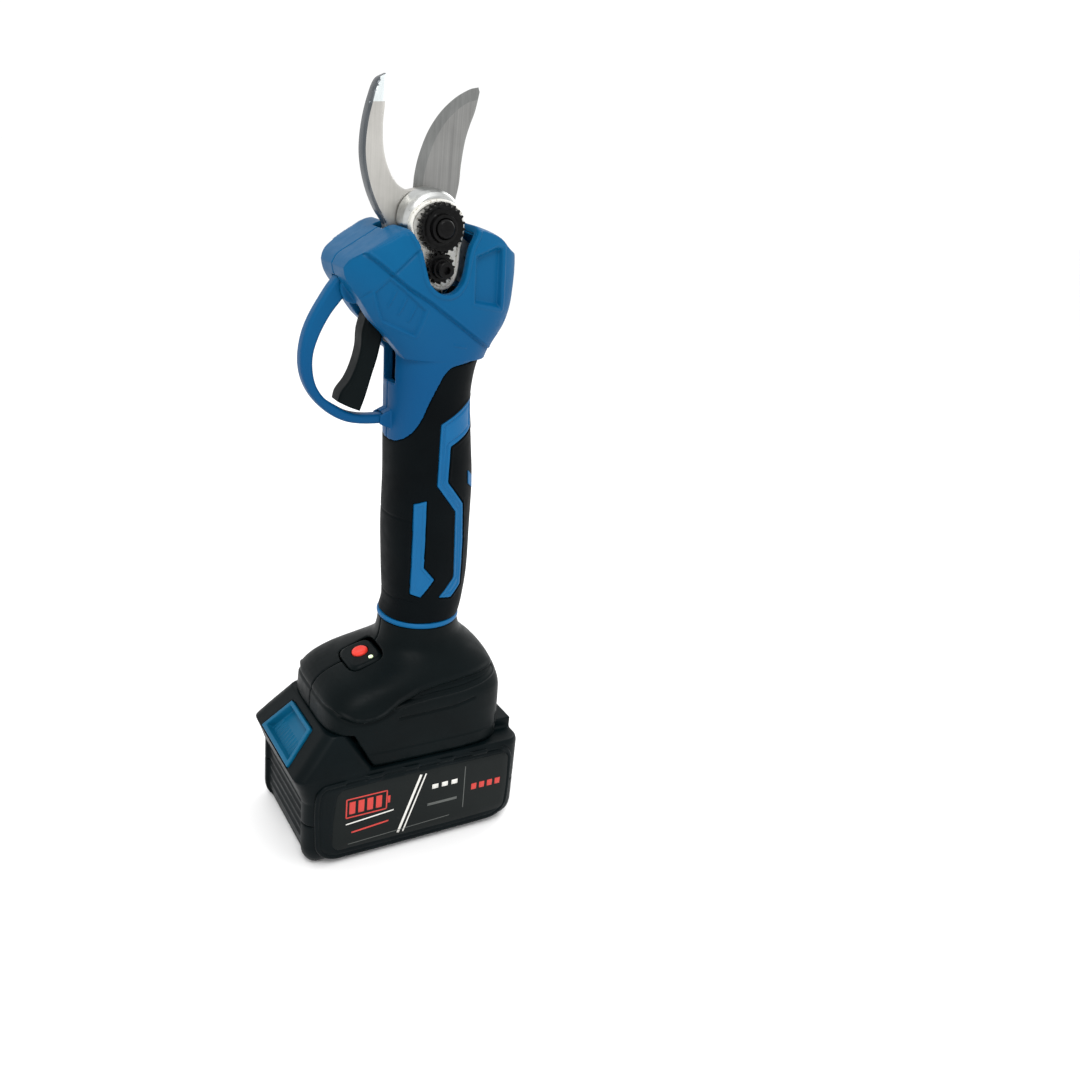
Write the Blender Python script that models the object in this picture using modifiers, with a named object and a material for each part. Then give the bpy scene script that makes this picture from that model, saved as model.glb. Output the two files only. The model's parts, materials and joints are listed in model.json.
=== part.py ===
"""Battery electric pruner: a hand-held bypass shear driven by a brushless motor.

Frame: the origin is on the handle axis at the bottom face of the battery. +Z runs up the handle to the
blades, -X is the trigger side, +X the back of the hand, and -Y the side with the toothed pivot nut.
All the helper functions below take millimetres and make objects in metres.
"""

import math

import bmesh
import bpy
from mathutils import Matrix, Vector

# ---------------------------------------------------------------- driving dimensions, in millimetres
GAP = 0.3                     # clearance between neighbouring pieces
PIVOT = (-10.5, 303.0)        # x, z of the blade pivot
DRIVE = (-1.5, 276.0)         # x, z of the output shaft; the motor axis has the same x
SWING_RATIO = 4               # blade sector to output pinion
PINION_TEETH = 9
PRESSURE = math.radians(25)
BEVEL_GEAR_TEETH, BEVEL_PINION_TEETH, BEVEL_MODULE = 20, 8, 1.25
SUN_TEETH, PLANET_TEETH, RING_TEETH, STAGE_MODULE = 12, 15, 42, 0.5
HEAD_HALF = 24.0              # half the width of the gear head
BLADE_FIXED = (-4.2, 0.8)     # y faces of the hooked counter blade
BLADE_MOVING = (1.1, 4.6)     # y faces of the cutting blade
CASTING = (-18.0, -4.5)       # y faces of the cast head
RING_Z = 114.6                # joint between the handle and the base
BATTERY = (-68.0, 47.9, 36.3, 49.2)   # front x, rear x, half width, height of its box
TRIGGER_PIVOT = (-31.0, 264.0)
MOTOR_R, MOTOR_Z0, MOTOR_Z1 = 13.5, 169.7, 218.0
CELL_R, CELL_LENGTH = 9.15, 65.0

# Handle cross-sections: height, centre x, half depth in x, half width in y
HANDLE = [
    (116.2, 0.3, 19.6, 19.6), (122, 1.6, 19.6, 19.6), (139, 1.8, 20.9, 20.5), (162, 0.9, 21.4, 20.8),
    (187, 0.4, 21.2, 20.8), (207, -1.2, 20.5, 20.5), (226, -2.6, 19.7, 20.5), (240, -2.3, 20.4, 21.1),
    (251, -1.0, 22.2, 22.0), (262, 0.0, 24.0, 22.6),
]
# Base cross-sections: height, front x, rear x, half width, squareness
BASE = [
    (49.7, -55.3, 39.7, 33.8, 5.0), (78, -55.0, 39.8, 34.0, 4.6), (84, -52.8, 38.9, 32.9, 4.0),
    (89, -47.0, 37.0, 30.8, 3.5), (93, -37.0, 34.8, 28.2, 3.0), (97, -27.5, 31.5, 25.0, 2.6),
    (101, -22.0, 27.0, 22.2, 2.3), (106, -20.2, 22.2, 20.3, 2.1), (113.0, -19.6, 19.9, 19.7, 2.0),
]

# Outlines in x, z
HEAD = [
    (-27, 301.6), (2, 304.8), (10, 303.4), (18, 300.3), (23.6, 295.9), (29, 293.2), (30.2, 291.2),
    (29.2, 281), (28.6, 272.6), (28.8, 266), (27.6, 261.2), (23, 258), (19.5, 253), (18, 246), (-21, 246),
    (-25, 250.5), (-31, 257), (-36.4, 262), (-42.5, 270.5), (-49, 279), (-50.6, 284.3), (-48.6, 288),
    (-42.6, 292.2), (-35, 297),
]
# The rounded hull that the head is trimmed to: height, front x, rear x, half width, squareness
HULL = [
    (238, -23, 21, 21.0, 2.2), (246, -25.5, 22.5, 21.6, 2.3), (252, -29.5, 25, 22.2, 2.5), (257, -34, 27.5, 22.8, 2.7),
    (262, -39.5, 30, 23.4, 2.8), (270.5, -46, 32, 24, 3.0), (279, -52.0, 33, 24, 3.0), (286, -53.6, 33, 24, 3.0),
    (296, -51, 32, 23.6, 3.0), (306, -45, 31, 22.8, 2.9),
]
TEARDROP = [
    (-9.5, 318.2), (-17.5, 316.4), (-23.4, 310.6), (-24.6, 303), (-21.0, 295.4), (-18.6, 288.5), (-16.6, 282),
    (-12.9, 277.9), (-8.4, 276.3), (-4.0, 277.6), (-1.0, 281.8), (0.3, 288), (1.4, 295), (3.4, 302), (2.2, 310.4),
    (-2.4, 316),
]
HOOK = [
    (-31.0, 360.0), (-34.9, 357.4), (-37.6, 350.6), (-39.6, 341.7), (-40.4, 332.1), (-39.6, 324.2),
    (-37.0, 315.2), (-33.2, 307.4), (-28.6, 300.4), (-29.6, 293.0), (-27.6, 284.0), (-24.4, 277.6),
    (-18.8, 278.2), (-17.8, 283.6), (-18.6, 290.0), (-16.4, 290.6), (-12.4, 288.6), (-7.6, 288.8),
    (-1.6, 291.4), (2.4, 296.0), (4.0, 301.4), (3.4, 307.2), (0.6, 312.6), (-4.2, 316.4), (-9.8, 317.6),
    (-15.4, 316.8), (-19.6, 315.9), (-24.4, 318.2), (-28.4, 323.6), (-31.0, 331.0), (-31.9, 340.4),
    (-31.4, 349.2),
]
BLADE_EDGE = [
    (-14.8, 316.2), (-14.4, 322.4), (-12.9, 330.0), (-9.4, 339.5), (-4.4, 347.4), (2.1, 353.8),
    (8.9, 358.0), (12.9, 359.2),
]
BLADE_SPINE = [(13.6, 357.4), (12.0, 349.4), (10.0, 343.6), (8.3, 337.0), (7.2, 327.5), (6.8, 319.2), (5.2, 311.0)]
GUARD_OUTER = [
    (-44.6, 283.0), (-50.4, 277.4), (-56.1, 268.8), (-60.3, 261.1), (-62.9, 254.0), (-64.2, 245.6),
    (-63.6, 237.6), (-61.0, 230.6), (-56.4, 224.2), (-50.0, 218.8), (-42.6, 215.2), (-34.8, 213.8), (-24.4, 213.6),
    (-19.4, 213.6),
]
GUARD_INNER = [
    (-19.4, 218.2), (-25.6, 218.2), (-34.0, 218.3), (-41.0, 219.6), (-47.4, 222.8), (-52.6, 226.4),
    (-56.4, 231.8), (-58.2, 238.4), (-58.2, 246.0), (-55.6, 254.4), (-51.2, 262.8), (-46.4, 269.2), (-41.0, 276.2),
]
TRIGGER = [
    (-34.4, 267.2), (-36.0, 262.0), (-37.4, 256.0), (-37.7, 248.6), (-39.6, 240.8), (-42.4, 234.4),
    (-46.3, 229.0), (-47.3, 225.0), (-41.8, 222.3), (-36.8, 220.4), (-34.5, 227.1), (-31.9, 236.6),
    (-29.6, 244.8), (-28.2, 252.0), (-27.2, 258.0), (-26.8, 264.0), (-28.6, 267.6), (-31.6, 268.6),
]
SLEEVE_TOP = [   # the grip's upper edge, from the front of the handle to its back
    (-40.0, 205.6), (-21.2, 206.2), (-19.1, 208.0), (-16.2, 211.6), (-13.0, 217.8), (-9.7, 227.6),
    (-6.2, 236.2), (-3.9, 240.8), (-0.6, 243.6), (8.9, 245.6), (26.0, 249.6),
]
STRIPE = [
    (15.0, 227.6), (9.0, 225.0), (-4.0, 217.1), (-3.8, 187.4), (6.7, 173.8), (8.8, 139.5), (1.3, 129.5),
    (8.4, 128.5), (14.1, 134.2), (13.4, 157.6), (11.4, 177.3), (1.7, 189.2), (2.0, 206.3), (15.6, 213.4),
]
ARROW = [(-13.3, 178.2), (-7.8, 180.4), (-6.9, 146.1), (-1.5, 139.7), (-7.3, 129.9), (-11.9, 131.3)]

# ---------------------------------------------------------------- scene, materials, helpers
for old in list(bpy.data.objects):
    bpy.data.objects.remove(old, do_unlink=True)


def new_collection(name):
    made = bpy.data.collections.new(name)
    bpy.context.scene.collection.children.link(made)
    return made


PARTS = new_collection("battery_pruner")
CUTTERS = new_collection("cutters")
AXES = new_collection("joint_axes")
MM = 0.001


def finish_material(name, colour, roughness, metallic=0.0):
    made = bpy.data.materials.new(name)
    made.use_nodes = True
    shader = made.node_tree.nodes["Principled BSDF"]
    shader.inputs["Base Color"].default_value = (*colour, 1)
    shader.inputs["Roughness"].default_value = roughness
    shader.inputs["Metallic"].default_value = metallic
    made.diffuse_color = (*colour, 1)
    return made


BLUE = finish_material("blue_abs", (0.015, 0.22, 0.47), 0.42)
RUBBER = finish_material("black_overmould", (0.012, 0.018, 0.022), 0.72)
BLACK = finish_material("black_nylon", (0.013, 0.02, 0.026), 0.5)
STEEL = finish_material("ground_steel", (0.56, 0.56, 0.55), 0.32, 1.0)
BRIGHT = finish_material("polished_steel", (0.75, 0.76, 0.77), 0.18, 1.0)
CAST = finish_material("cast_aluminium", (0.72, 0.71, 0.68), 0.45, 1.0)
OXIDE = finish_material("black_oxide_steel", (0.02, 0.02, 0.022), 0.4, 0.9)
BRASS = finish_material("sintered_bronze", (0.55, 0.38, 0.16), 0.4, 1.0)
COPPER = finish_material("copper_winding", (0.6, 0.28, 0.12), 0.4, 1.0)
RED = finish_material("red_silicone", (0.72, 0.03, 0.025), 0.4)
LED = finish_material("led_lens", (0.75, 0.9, 0.62), 0.2)
BOARD = finish_material("circuit_board", (0.02, 0.16, 0.07), 0.5)
CELL = finish_material("cell_sleeve", (0.05, 0.30, 0.24), 0.45)
LABEL = finish_material("label_film", (0.05, 0.052, 0.055), 0.35)
CABLE = finish_material("cable_jacket", (0.02, 0.02, 0.02), 0.6)


def place(obj, material, cutter):
    if cutter:
        CUTTERS.objects.link(obj)
        obj.hide_render = True
        obj.display_type = "WIRE"
    else:
        PARTS.objects.link(obj)
        obj.data.materials.clear()
        obj.data.materials.append(material)
    return obj


def from_bmesh(name, work, material=None, cutter=False):
    bmesh.ops.remove_doubles(work, verts=work.verts, dist=1e-6)
    bmesh.ops.recalc_face_normals(work, faces=work.faces)
    mesh = bpy.data.meshes.new(name)
    work.to_mesh(mesh)
    work.free()
    obj = bpy.data.objects.new(name, mesh)
    return place(obj, material, cutter)


def from_curve(name, curve, matrix, material, cutter):
    """The curve's evaluated mesh with its caps welded, moved by matrix."""
    guide = bpy.data.objects.new(name + "_curve", curve)
    bpy.context.scene.collection.objects.link(guide)
    bpy.context.view_layer.update()
    graph = bpy.context.evaluated_depsgraph_get()
    mesh = bpy.data.meshes.new_from_object(guide.evaluated_get(graph))
    bpy.data.objects.remove(guide, do_unlink=True)
    work = bmesh.new()
    work.from_mesh(mesh)
    bpy.data.meshes.remove(mesh)
    bmesh.ops.transform(work, matrix=matrix, verts=work.verts)
    bmesh.ops.remove_doubles(work, verts=work.verts, dist=2e-6)
    bmesh.ops.recalc_face_normals(work, faces=work.faces)
    return from_bmesh(name, work, material, cutter)


UPRIGHT = Matrix.Rotation(math.radians(90), 4, "X")   # an outline in x, y stands up in x, z


def plate(name, outline, y0, y1, material=None, cutter=False, bevel=0.0, holes=()):
    """A flat piece: its outline in x and z, between the planes y0 and y1."""
    curve = bpy.data.curves.new(name, "CURVE")
    curve.dimensions = "2D"
    curve.fill_mode = "BOTH"
    for loop in [outline, *holes]:
        spline = curve.splines.new("POLY")
        spline.points.add(len(loop) - 1)
        for point, (x, z) in zip(spline.points, loop):
            point.co = (x * MM, z * MM, 0, 1)
        spline.use_cyclic_u = True
    curve.extrude = (abs(y1 - y0) / 2 - bevel) * MM
    if bevel:
        curve.bevel_depth = bevel * MM
        curve.bevel_resolution = 0
        curve.offset = -bevel * MM
    shift = Matrix.Translation((0, (y0 + y1) / 2 * MM, 0))
    return from_curve(name, curve, shift @ UPRIGHT, material, cutter)


def level_plate(name, outline, z0, z1, material=None, cutter=False, holes=(), centre=(0, 0)):
    """A flat piece that lies level: its outline in x and y, between the heights z0 and z1."""
    curve = bpy.data.curves.new(name, "CURVE")
    curve.dimensions = "2D"
    curve.fill_mode = "BOTH"
    for loop in [outline, *holes]:
        spline = curve.splines.new("POLY")
        spline.points.add(len(loop) - 1)
        for point, (x, y) in zip(spline.points, loop):
            point.co = ((x + centre[0]) * MM, (y + centre[1]) * MM, 0, 1)
        spline.use_cyclic_u = True
    curve.extrude = (z1 - z0) / 2 * MM
    return from_curve(name, curve, Matrix.Translation((0, 0, (z0 + z1) / 2 * MM)), material, cutter)


def block(name, low, high, material=None, cutter=False, bevel=0.0):
    work = bmesh.new()
    bmesh.ops.create_cube(work, size=1)
    centre = [(a + b) / 2 * MM for a, b in zip(low, high)]
    size = [(b - a) * MM for a, b in zip(low, high)]
    bmesh.ops.transform(work, matrix=Matrix.Translation(centre) @ Matrix.Diagonal((*size, 1)), verts=work.verts)
    if bevel:
        bmesh.ops.bevel(work, geom=work.edges[:], offset=bevel * MM, segments=1, affect="EDGES", profile=0.5)
    return from_bmesh(name, work, material, cutter)


def rod(name, radius, start, end, material=None, cutter=False, sides=18, radius_end=None):
    """A cylinder or cone between two points."""
    start, end = Vector(start), Vector(end)
    work = bmesh.new()
    bmesh.ops.create_cone(
        work, cap_ends=True, segments=sides, radius1=radius * MM,
        radius2=(radius if radius_end is None else radius_end) * MM, depth=(end - start).length * MM,
    )
    turn = Vector((0, 0, 1)).rotation_difference(end - start).to_matrix().to_4x4()
    bmesh.ops.transform(work, matrix=Matrix.Translation((start + end) / 2 * MM) @ turn, verts=work.verts)
    return from_bmesh(name, work, material, cutter)


def turned(name, profile, material=None, cutter=False, axis="Z", at=(0, 0, 0), steps=18, closed=False):
    """A turned piece: profile holds radius and height pairs, swept round by a Screw modifier."""
    mesh = bpy.data.meshes.new(name)
    points = [(r * MM, 0, h * MM) for r, h in profile]
    edges = [(i, i + 1) for i in range(len(points) - 1)] + ([(len(points) - 1, 0)] if closed else [])
    mesh.from_pydata(points, edges, [])
    guide = bpy.data.objects.new(name + "_profile", mesh)
    bpy.context.scene.collection.objects.link(guide)
    screw = guide.modifiers.new("turn", "SCREW")
    screw.steps = screw.render_steps = steps
    screw.use_merge_vertices = True
    screw.merge_threshold = 0.00001
    bpy.context.view_layer.update()
    graph = bpy.context.evaluated_depsgraph_get()
    made = bpy.data.meshes.new_from_object(guide.evaluated_get(graph))
    bpy.data.objects.remove(guide, do_unlink=True)
    work = bmesh.new()
    work.from_mesh(made)
    bpy.data.meshes.remove(made)
    # Y pieces are turned so that their heights run along +Y
    turn = Matrix.Rotation(math.radians(-90), 4, "X") if axis == "Y" else Matrix.Identity(4)
    bmesh.ops.transform(work, matrix=Matrix.Translation([c * MM for c in at]) @ turn, verts=work.verts)
    bmesh.ops.remove_doubles(work, verts=work.verts, dist=2e-6)
    return from_bmesh(name, work, material, cutter)


def ring(name, inner, outer, y0, y1, centre, material=None, cutter=False, sides=18):
    """A washer or bush on an axis along Y; centre is its x and z."""
    profile = [(inner, y0), (outer, y0), (outer, y1), (inner, y1)]
    return turned(name, profile, material, cutter, "Y", (centre[0], 0, centre[1]), sides, closed=True)


def tube(name, route, radius, material, resolution=2):
    """A cable: a smooth curve through the route's points, read off at even steps."""
    points = [Vector(p) for p in route]
    smooth = []
    for i in range(len(points) - 1):
        a, b = points[max(i - 1, 0)], points[i]
        c, d = points[i + 1], points[min(i + 2, len(points) - 1)]
        for k in range(2):
            t = k / 2
            smooth.append(
                0.5 * ((2 * b) + (c - a) * t + (2 * a - 5 * b + 4 * c - d) * t * t + (3 * b - a - 3 * c + d) * t**3)
            )
    smooth.append(points[-1])
    curve = bpy.data.curves.new(name, "CURVE")
    curve.dimensions = "3D"
    spline = curve.splines.new("POLY")
    spline.points.add(len(smooth) - 1)
    for point, co in zip(spline.points, smooth):
        point.co = (co.x * MM, co.y * MM, co.z * MM, 1)
    curve.bevel_depth = radius * MM
    curve.bevel_resolution = resolution
    curve.use_fill_caps = True
    return from_curve(name, curve, Matrix.Identity(4), material, False)


def coil(name, centre, axis_end, radius, wire, turns, material, per_turn=9):
    """A coil spring from centre to axis_end."""
    start, end = Vector(centre), Vector(axis_end)
    along = end - start
    side = along.orthogonal().normalized()
    other = along.normalized().cross(side)
    curve = bpy.data.curves.new(name, "CURVE")
    curve.dimensions = "3D"
    spline = curve.splines.new("POLY")
    count = int(turns * per_turn)
    spline.points.add(count)
    for i, point in enumerate(spline.points):
        angle = 2 * math.pi * i / per_turn
        co = start + along * (i / count) + radius * (math.cos(angle) * side + math.sin(angle) * other)
        point.co = (co.x * MM, co.y * MM, co.z * MM, 1)
    curve.bevel_depth = wire * MM
    curve.bevel_resolution = 1
    curve.use_fill_caps = True
    return from_curve(name, curve, Matrix.Identity(4), material, False)


def loft(name, rings, material=None, cutter=False):
    """A closed skin through rings of equally many points, with flat ends."""
    work = bmesh.new()
    rows = [[work.verts.new(Vector(p) * MM) for p in ring_points] for ring_points in rings]
    for low, high in zip(rows, rows[1:]):
        for i in range(len(low)):
            j = (i + 1) % len(low)
            work.faces.new((low[i], low[j], high[j], high[i]))
    work.faces.new(rows[0][::-1])
    work.faces.new(rows[-1])
    return from_bmesh(name, work, material, cutter)


def squircle(x0, x1, half, z, power=2.0, count=28, inset=0.0):
    """A level ring between x0 and x1, half wide in y; power 2 is an ellipse and 6 nearly a rectangle."""
    centre, a, b = (x0 + x1) / 2, (x1 - x0) / 2 - inset, half - inset
    points = []
    for i in range(count):
        t = 2 * math.pi * (i + 0.5) / count
        c, s = math.cos(t), math.sin(t)
        points.append((
            centre + a * math.copysign(abs(c) ** (2 / power), c),
            b * math.copysign(abs(s) ** (2 / power), s), z,
        ))
    return points


def rounded(x0, x1, half, z, radius, inset=0.0, per_corner=5):
    """A level ring with four round corners, between x0 and x1 and half wide in y."""
    points = []
    x0, x1, half, radius = x0 + inset, x1 - inset, half - inset, max(radius - inset, 0.8)
    for cx, cy, first in ((x1 - radius, half - radius, 0), (x0 + radius, half - radius, 90),
                          (x0 + radius, radius - half, 180), (x1 - radius, radius - half, 270)):
        for k in range(per_corner):
            t = math.radians(first + 90 * k / (per_corner - 1))
            points.append((cx + radius * math.cos(t), cy + radius * math.sin(t), z))
    return points


def shrink(outline, distance):
    """The outline moved inwards by distance (outwards when negative), corner by corner."""
    area = sum(a[0] * b[1] - b[0] * a[1] for a, b in zip(outline, outline[1:] + outline[:1]))
    sign = 1 if area > 0 else -1
    moved = []
    for i, (x, z) in enumerate(outline):
        before = Vector(outline[i - 1])
        here = Vector((x, z))
        after = Vector(outline[(i + 1) % len(outline)])
        one, two = (here - before).normalized(), (after - here).normalized()
        n1, n2 = Vector((-one.y, one.x)) * sign, Vector((-two.y, two.x)) * sign
        middle = (n1 + n2)
        if middle.length < 1e-6:
            middle = n1
        middle.normalize()
        reach = distance / max(middle.dot(n1), 0.5)
        moved.append((x + middle.x * reach, z + middle.y * reach))
    return moved


def slab(name, outline, levels, material=None, cutter=False):
    """A skin through copies of an x, z outline, each level a y plane and how far the outline shrinks there."""
    return loft(name, [[(x, y, z) for x, z in shrink(outline, inset)] for y, inset in levels], material, cutter)


def circle(radius, centre=(0, 0), count=24, turn=0.0):
    return [
        (centre[0] + radius * math.cos(turn + 2 * math.pi * i / count),
         centre[1] + radius * math.sin(turn + 2 * math.pi * i / count)) for i in range(count)
    ]


def boolean(obj, other, operation):
    step = obj.modifiers.new(operation.lower() + "_" + other.name, "BOOLEAN")
    step.operation = operation
    step.object = other
    step.solver = "EXACT"
    return obj


def cut(obj, *others):
    for other in others:
        boolean(obj, other, "DIFFERENCE")
    return obj


def join(obj, *others):
    for other in others:
        boolean(obj, other, "UNION")
    return obj


def settle(obj):
    """Apply the modifiers, so that the shape can be a neighbour's cutter."""
    bpy.context.view_layer.update()
    graph = bpy.context.evaluated_depsgraph_get()
    mesh = bpy.data.meshes.new_from_object(obj.evaluated_get(graph))
    obj.modifiers.clear()
    old = obj.data
    materials = list(old.materials)
    obj.data = mesh
    mesh.materials.clear()
    for material in materials:
        mesh.materials.append(material)
    mesh.name = old.name + "_made"
    return obj


def joint_axis(name, at, *children):
    """An empty on a joint's axis; its children turn or slide with it."""
    empty = bpy.data.objects.new(name, None)
    empty.location = [c * MM for c in at]
    empty.empty_display_size = 0.01
    AXES.objects.link(empty)
    bpy.context.view_layer.update()
    for child in children:
        child.parent = empty
        child.matrix_parent_inverse = Matrix.Translation([-c * MM for c in at])
    return empty


# ---------------------------------------------------------------- gear teeth
def involute(angle):
    return math.tan(angle) - angle


def half_tooth(pitch_r, r, teeth, backlash):
    """Half of a tooth's angle at radius r."""
    base = pitch_r * math.cos(PRESSURE)
    here = math.acos(min(base / r, 1.0))
    return math.pi / (2 * teeth) - backlash / (2 * pitch_r) + involute(PRESSURE) - involute(here)


def tooth_points(module, teeth, count, centre, first, addendum=0.8, dedendum=1.15, backlash=0.22, flank=4):
    """Points of count teeth, tooth centres at first + k pitches, in order of rising angle."""
    pitch_r = module * teeth / 2
    base = pitch_r * math.cos(PRESSURE)
    tip, root = pitch_r + addendum * module, pitch_r - dedendum * module
    low = max(base * 1.0005, root)
    radii = [root, tip] if flank == 2 else [root] + [low + (tip - low) * i / (flank - 2) for i in range(flank - 1)]
    points = []
    for k in range(count):
        middle = first + 2 * math.pi * k / teeth
        halves = [half_tooth(pitch_r, max(r, low), teeth, backlash) for r in radii]
        for r, h in list(zip(radii, halves)):
            points.append((r, middle - h))
        for r, h in reversed(list(zip(radii, halves))):
            points.append((r, middle + h))
    return [(centre[0] + r * math.cos(a), centre[1] + r * math.sin(a)) for r, a in points]


def ring_tooth_points(module, teeth, first_space, addendum=0.8, dedendum=1.15, backlash=0.2):
    """An internal gear's inner outline, with a tooth space centred at first_space."""
    pitch_r = module * teeth / 2
    tip, root = pitch_r - addendum * module, pitch_r + dedendum * module
    points = []
    for k in range(teeth):
        middle = first_space + 2 * math.pi * k / teeth
        for r in (tip, root):
            wide = math.pi / (2 * teeth) + backlash / (2 * pitch_r) - (r - pitch_r) * math.tan(PRESSURE) / pitch_r
            points.append((r, middle - wide))
        for r in (root, tip):
            wide = math.pi / (2 * teeth) + backlash / (2 * pitch_r) - (r - pitch_r) * math.tan(PRESSURE) / pitch_r
            points.append((r, middle + wide))
    return [(r * math.cos(a), r * math.sin(a)) for r, a in points]


def bevel_teeth(name, teeth, mate, apex, axis, first, back, front, material, backlash=0.3):
    """A straight bevel gear's toothed body, with its apex at apex and its axis pointing away from it.

    first is the direction, at right angles to axis, in which a tooth is centred. Tooth thickness follows
    the involute of the equivalent spur gear on the back cone.
    """
    axis, first = Vector(axis).normalized(), Vector(first).normalized()
    side = axis.cross(first)
    pitch = math.atan2(teeth, mate)
    cone = BEVEL_MODULE * math.hypot(teeth, mate) / 2
    virtual_teeth = teeth / math.cos(pitch)
    virtual_r = BEVEL_MODULE * virtual_teeth / 2
    heights = (-1.15 * BEVEL_MODULE, 0.8 * BEVEL_MODULE)
    outer = []
    for k in range(teeth):
        middle = 2 * math.pi * k / teeth
        profile = []
        for h in heights:
            r = max(virtual_r + h, virtual_r * math.cos(PRESSURE) * 1.0005)
            wide = half_tooth(virtual_r, r, virtual_teeth, backlash) * r
            tilt = pitch + math.atan2(h, cone)
            profile.append((tilt, wide / (cone * math.sin(tilt))))
        for tilt, wide in profile:
            outer.append((tilt, middle - wide))
        for tilt, wide in reversed(profile):
            outer.append((tilt, middle + wide))

    def at(distance, tilt, angle):
        flat = math.cos(angle) * first + math.sin(angle) * side
        return Vector(apex) + distance * (math.sin(tilt) * flat + math.cos(tilt) * axis)

    large = [at(cone, t, a) for t, a in outer]
    small = [at(cone * 0.66, t, a) for t, a in outer]
    work = bmesh.new()
    rows = [[work.verts.new(p * MM) for p in row] for row in (large, small)]
    ends = [work.verts.new((Vector(apex) + axis * d) * MM) for d in (back, front)]
    count = len(outer)
    for i in range(count):
        j = (i + 1) % count
        work.faces.new((rows[0][i], rows[0][j], rows[1][j], rows[1][i]))
        work.faces.new((rows[0][j], rows[0][i], ends[0]))
        work.faces.new((rows[1][i], rows[1][j], ends[1]))
    return from_bmesh(name, work, material)


# ================================================================ cutting head
drive_angle = math.atan2(DRIVE[1] - PIVOT[1], DRIVE[0] - PIVOT[0])
centre_distance = math.hypot(DRIVE[0] - PIVOT[0], DRIVE[1] - PIVOT[1])
pinion_r = centre_distance / (1 + SWING_RATIO)
SPUR_MODULE = 2 * pinion_r / PINION_TEETH
SECTOR_TEETH = PINION_TEETH * SWING_RATIO

# the hooked counter blade, fixed to the casting by two screws from the near side
fixed_blade = plate("fixed_blade", HOOK, *BLADE_FIXED, STEEL)
SCREW_A, SCREW_B = (-24.2, 292.0), (-21.8, 282.2)
cut(
    fixed_blade,
    rod("cut_fixed_bore", 4.3, (PIVOT[0], -8, PIVOT[1]), (PIVOT[0], 4, PIVOT[1]), cutter=True),
    *[rod(f"cut_fixed_screw_{n}", 2.0, (s[0], -8, s[1]), (s[0], 4, s[1]), cutter=True, sides=16)
      for n, s in (("a", SCREW_A), ("b", SCREW_B))],
)

# the cutting blade: a crescent, a hub and a toothed sector on its tail, all one piece
pitch_angle = 2 * math.pi / SECTOR_TEETH
sector = tooth_points(SPUR_MODULE, SECTOR_TEETH, 8, PIVOT, drive_angle - 6 * pitch_angle)
hub_left = [(PIVOT[0] + 13.6 * math.cos(math.radians(a)), PIVOT[1] + 13.6 * math.sin(math.radians(a)))
            for a in (205, 185, 165, 145, 125)]
hub_right = [(PIVOT[0] + 14.6 * math.cos(math.radians(a)), PIVOT[1] + 14.6 * math.sin(math.radians(a)))
             for a in (8, -14, -32)]
moving_blade = plate(
    "moving_blade", sector + list(reversed(hub_right)) + BLADE_SPINE[::-1] + BLADE_EDGE[::-1] + hub_left[::-1],
    *BLADE_MOVING, STEEL,
)
cut(moving_blade, rod("cut_moving_bore", 6.5, (PIVOT[0], -1, PIVOT[1]), (PIVOT[0], 8, PIVOT[1]), cutter=True))

pivot_bush = ring("pivot_bush", 4.3, 6.2, 1.15, 4.55, PIVOT, BRASS)
thrust_washer = ring("thrust_washer", 4.3, 11.0, 4.95, 5.9, PIVOT, BRIGHT)
pivot_bolt = turned(
    "pivot_bolt", [(0, -25.8), (3.2, -25.8), (4.0, -25.0), (4.0, 6.2), (8.0, 6.2), (8.0, 10.2), (7.0, 11.2), (0, 11.2)],
    OXIDE, axis="Y", at=(PIVOT[0], 0, PIVOT[1]), steps=18,
)
cut(pivot_bolt, rod("cut_bolt_socket", 4.0, (PIVOT[0], 8, PIVOT[1]), (PIVOT[0], 14, PIVOT[1]), cutter=True, sides=6))


def toothed_disc(name, teeth, centre, module, boss, first):
    """The adjusting nut or its locking gear: a thin toothed disc with a raised boss."""
    outline = tooth_points(module, teeth, teeth, centre, first, addendum=0.5, dedendum=0.75, backlash=0.35, flank=2)
    disc = plate(name, outline, -22.0, -18.3, OXIDE)
    join(disc, rod("join_" + name, boss, (centre[0], -24.2, centre[1]), (centre[0], -20, centre[1]), cutter=True))
    return disc


LOCK = (-10.3, 286.6)
lock_distance = math.hypot(LOCK[0] - PIVOT[0], LOCK[1] - PIVOT[1])
LOCK_MODULE = 2 * lock_distance / (24 + 15)
lock_angle = math.atan2(LOCK[1] - PIVOT[1], LOCK[0] - PIVOT[0])
pivot_nut = toothed_disc("pivot_nut", 24, PIVOT, LOCK_MODULE, 5.8, lock_angle)
cut(pivot_nut, rod("cut_nut_bore", 4.3, (PIVOT[0], -28, PIVOT[1]), (PIVOT[0], -15, PIVOT[1]), cutter=True))
lock_gear = toothed_disc("lock_gear", 15, LOCK, LOCK_MODULE, 4.2, lock_angle + math.pi + math.pi / 15)
cut(lock_gear, rod("cut_lock_bore", 2.3, (LOCK[0], -28, LOCK[1]), (LOCK[0], -15, LOCK[1]), cutter=True, sides=16))
lock_screw = turned(
    "lock_screw", [(0, -28.0), (3.1, -28.0), (3.5, -27.6), (3.5, -24.5), (2.0, -24.5), (2.0, -9.0), (0, -9.0)],
    OXIDE, axis="Y", at=(LOCK[0], 0, LOCK[1]), steps=20,
)
cut(lock_screw, rod("cut_lock_socket", 1.8, (LOCK[0], -30, LOCK[1]), (LOCK[0], -26, LOCK[1]), cutter=True, sides=6))

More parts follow.
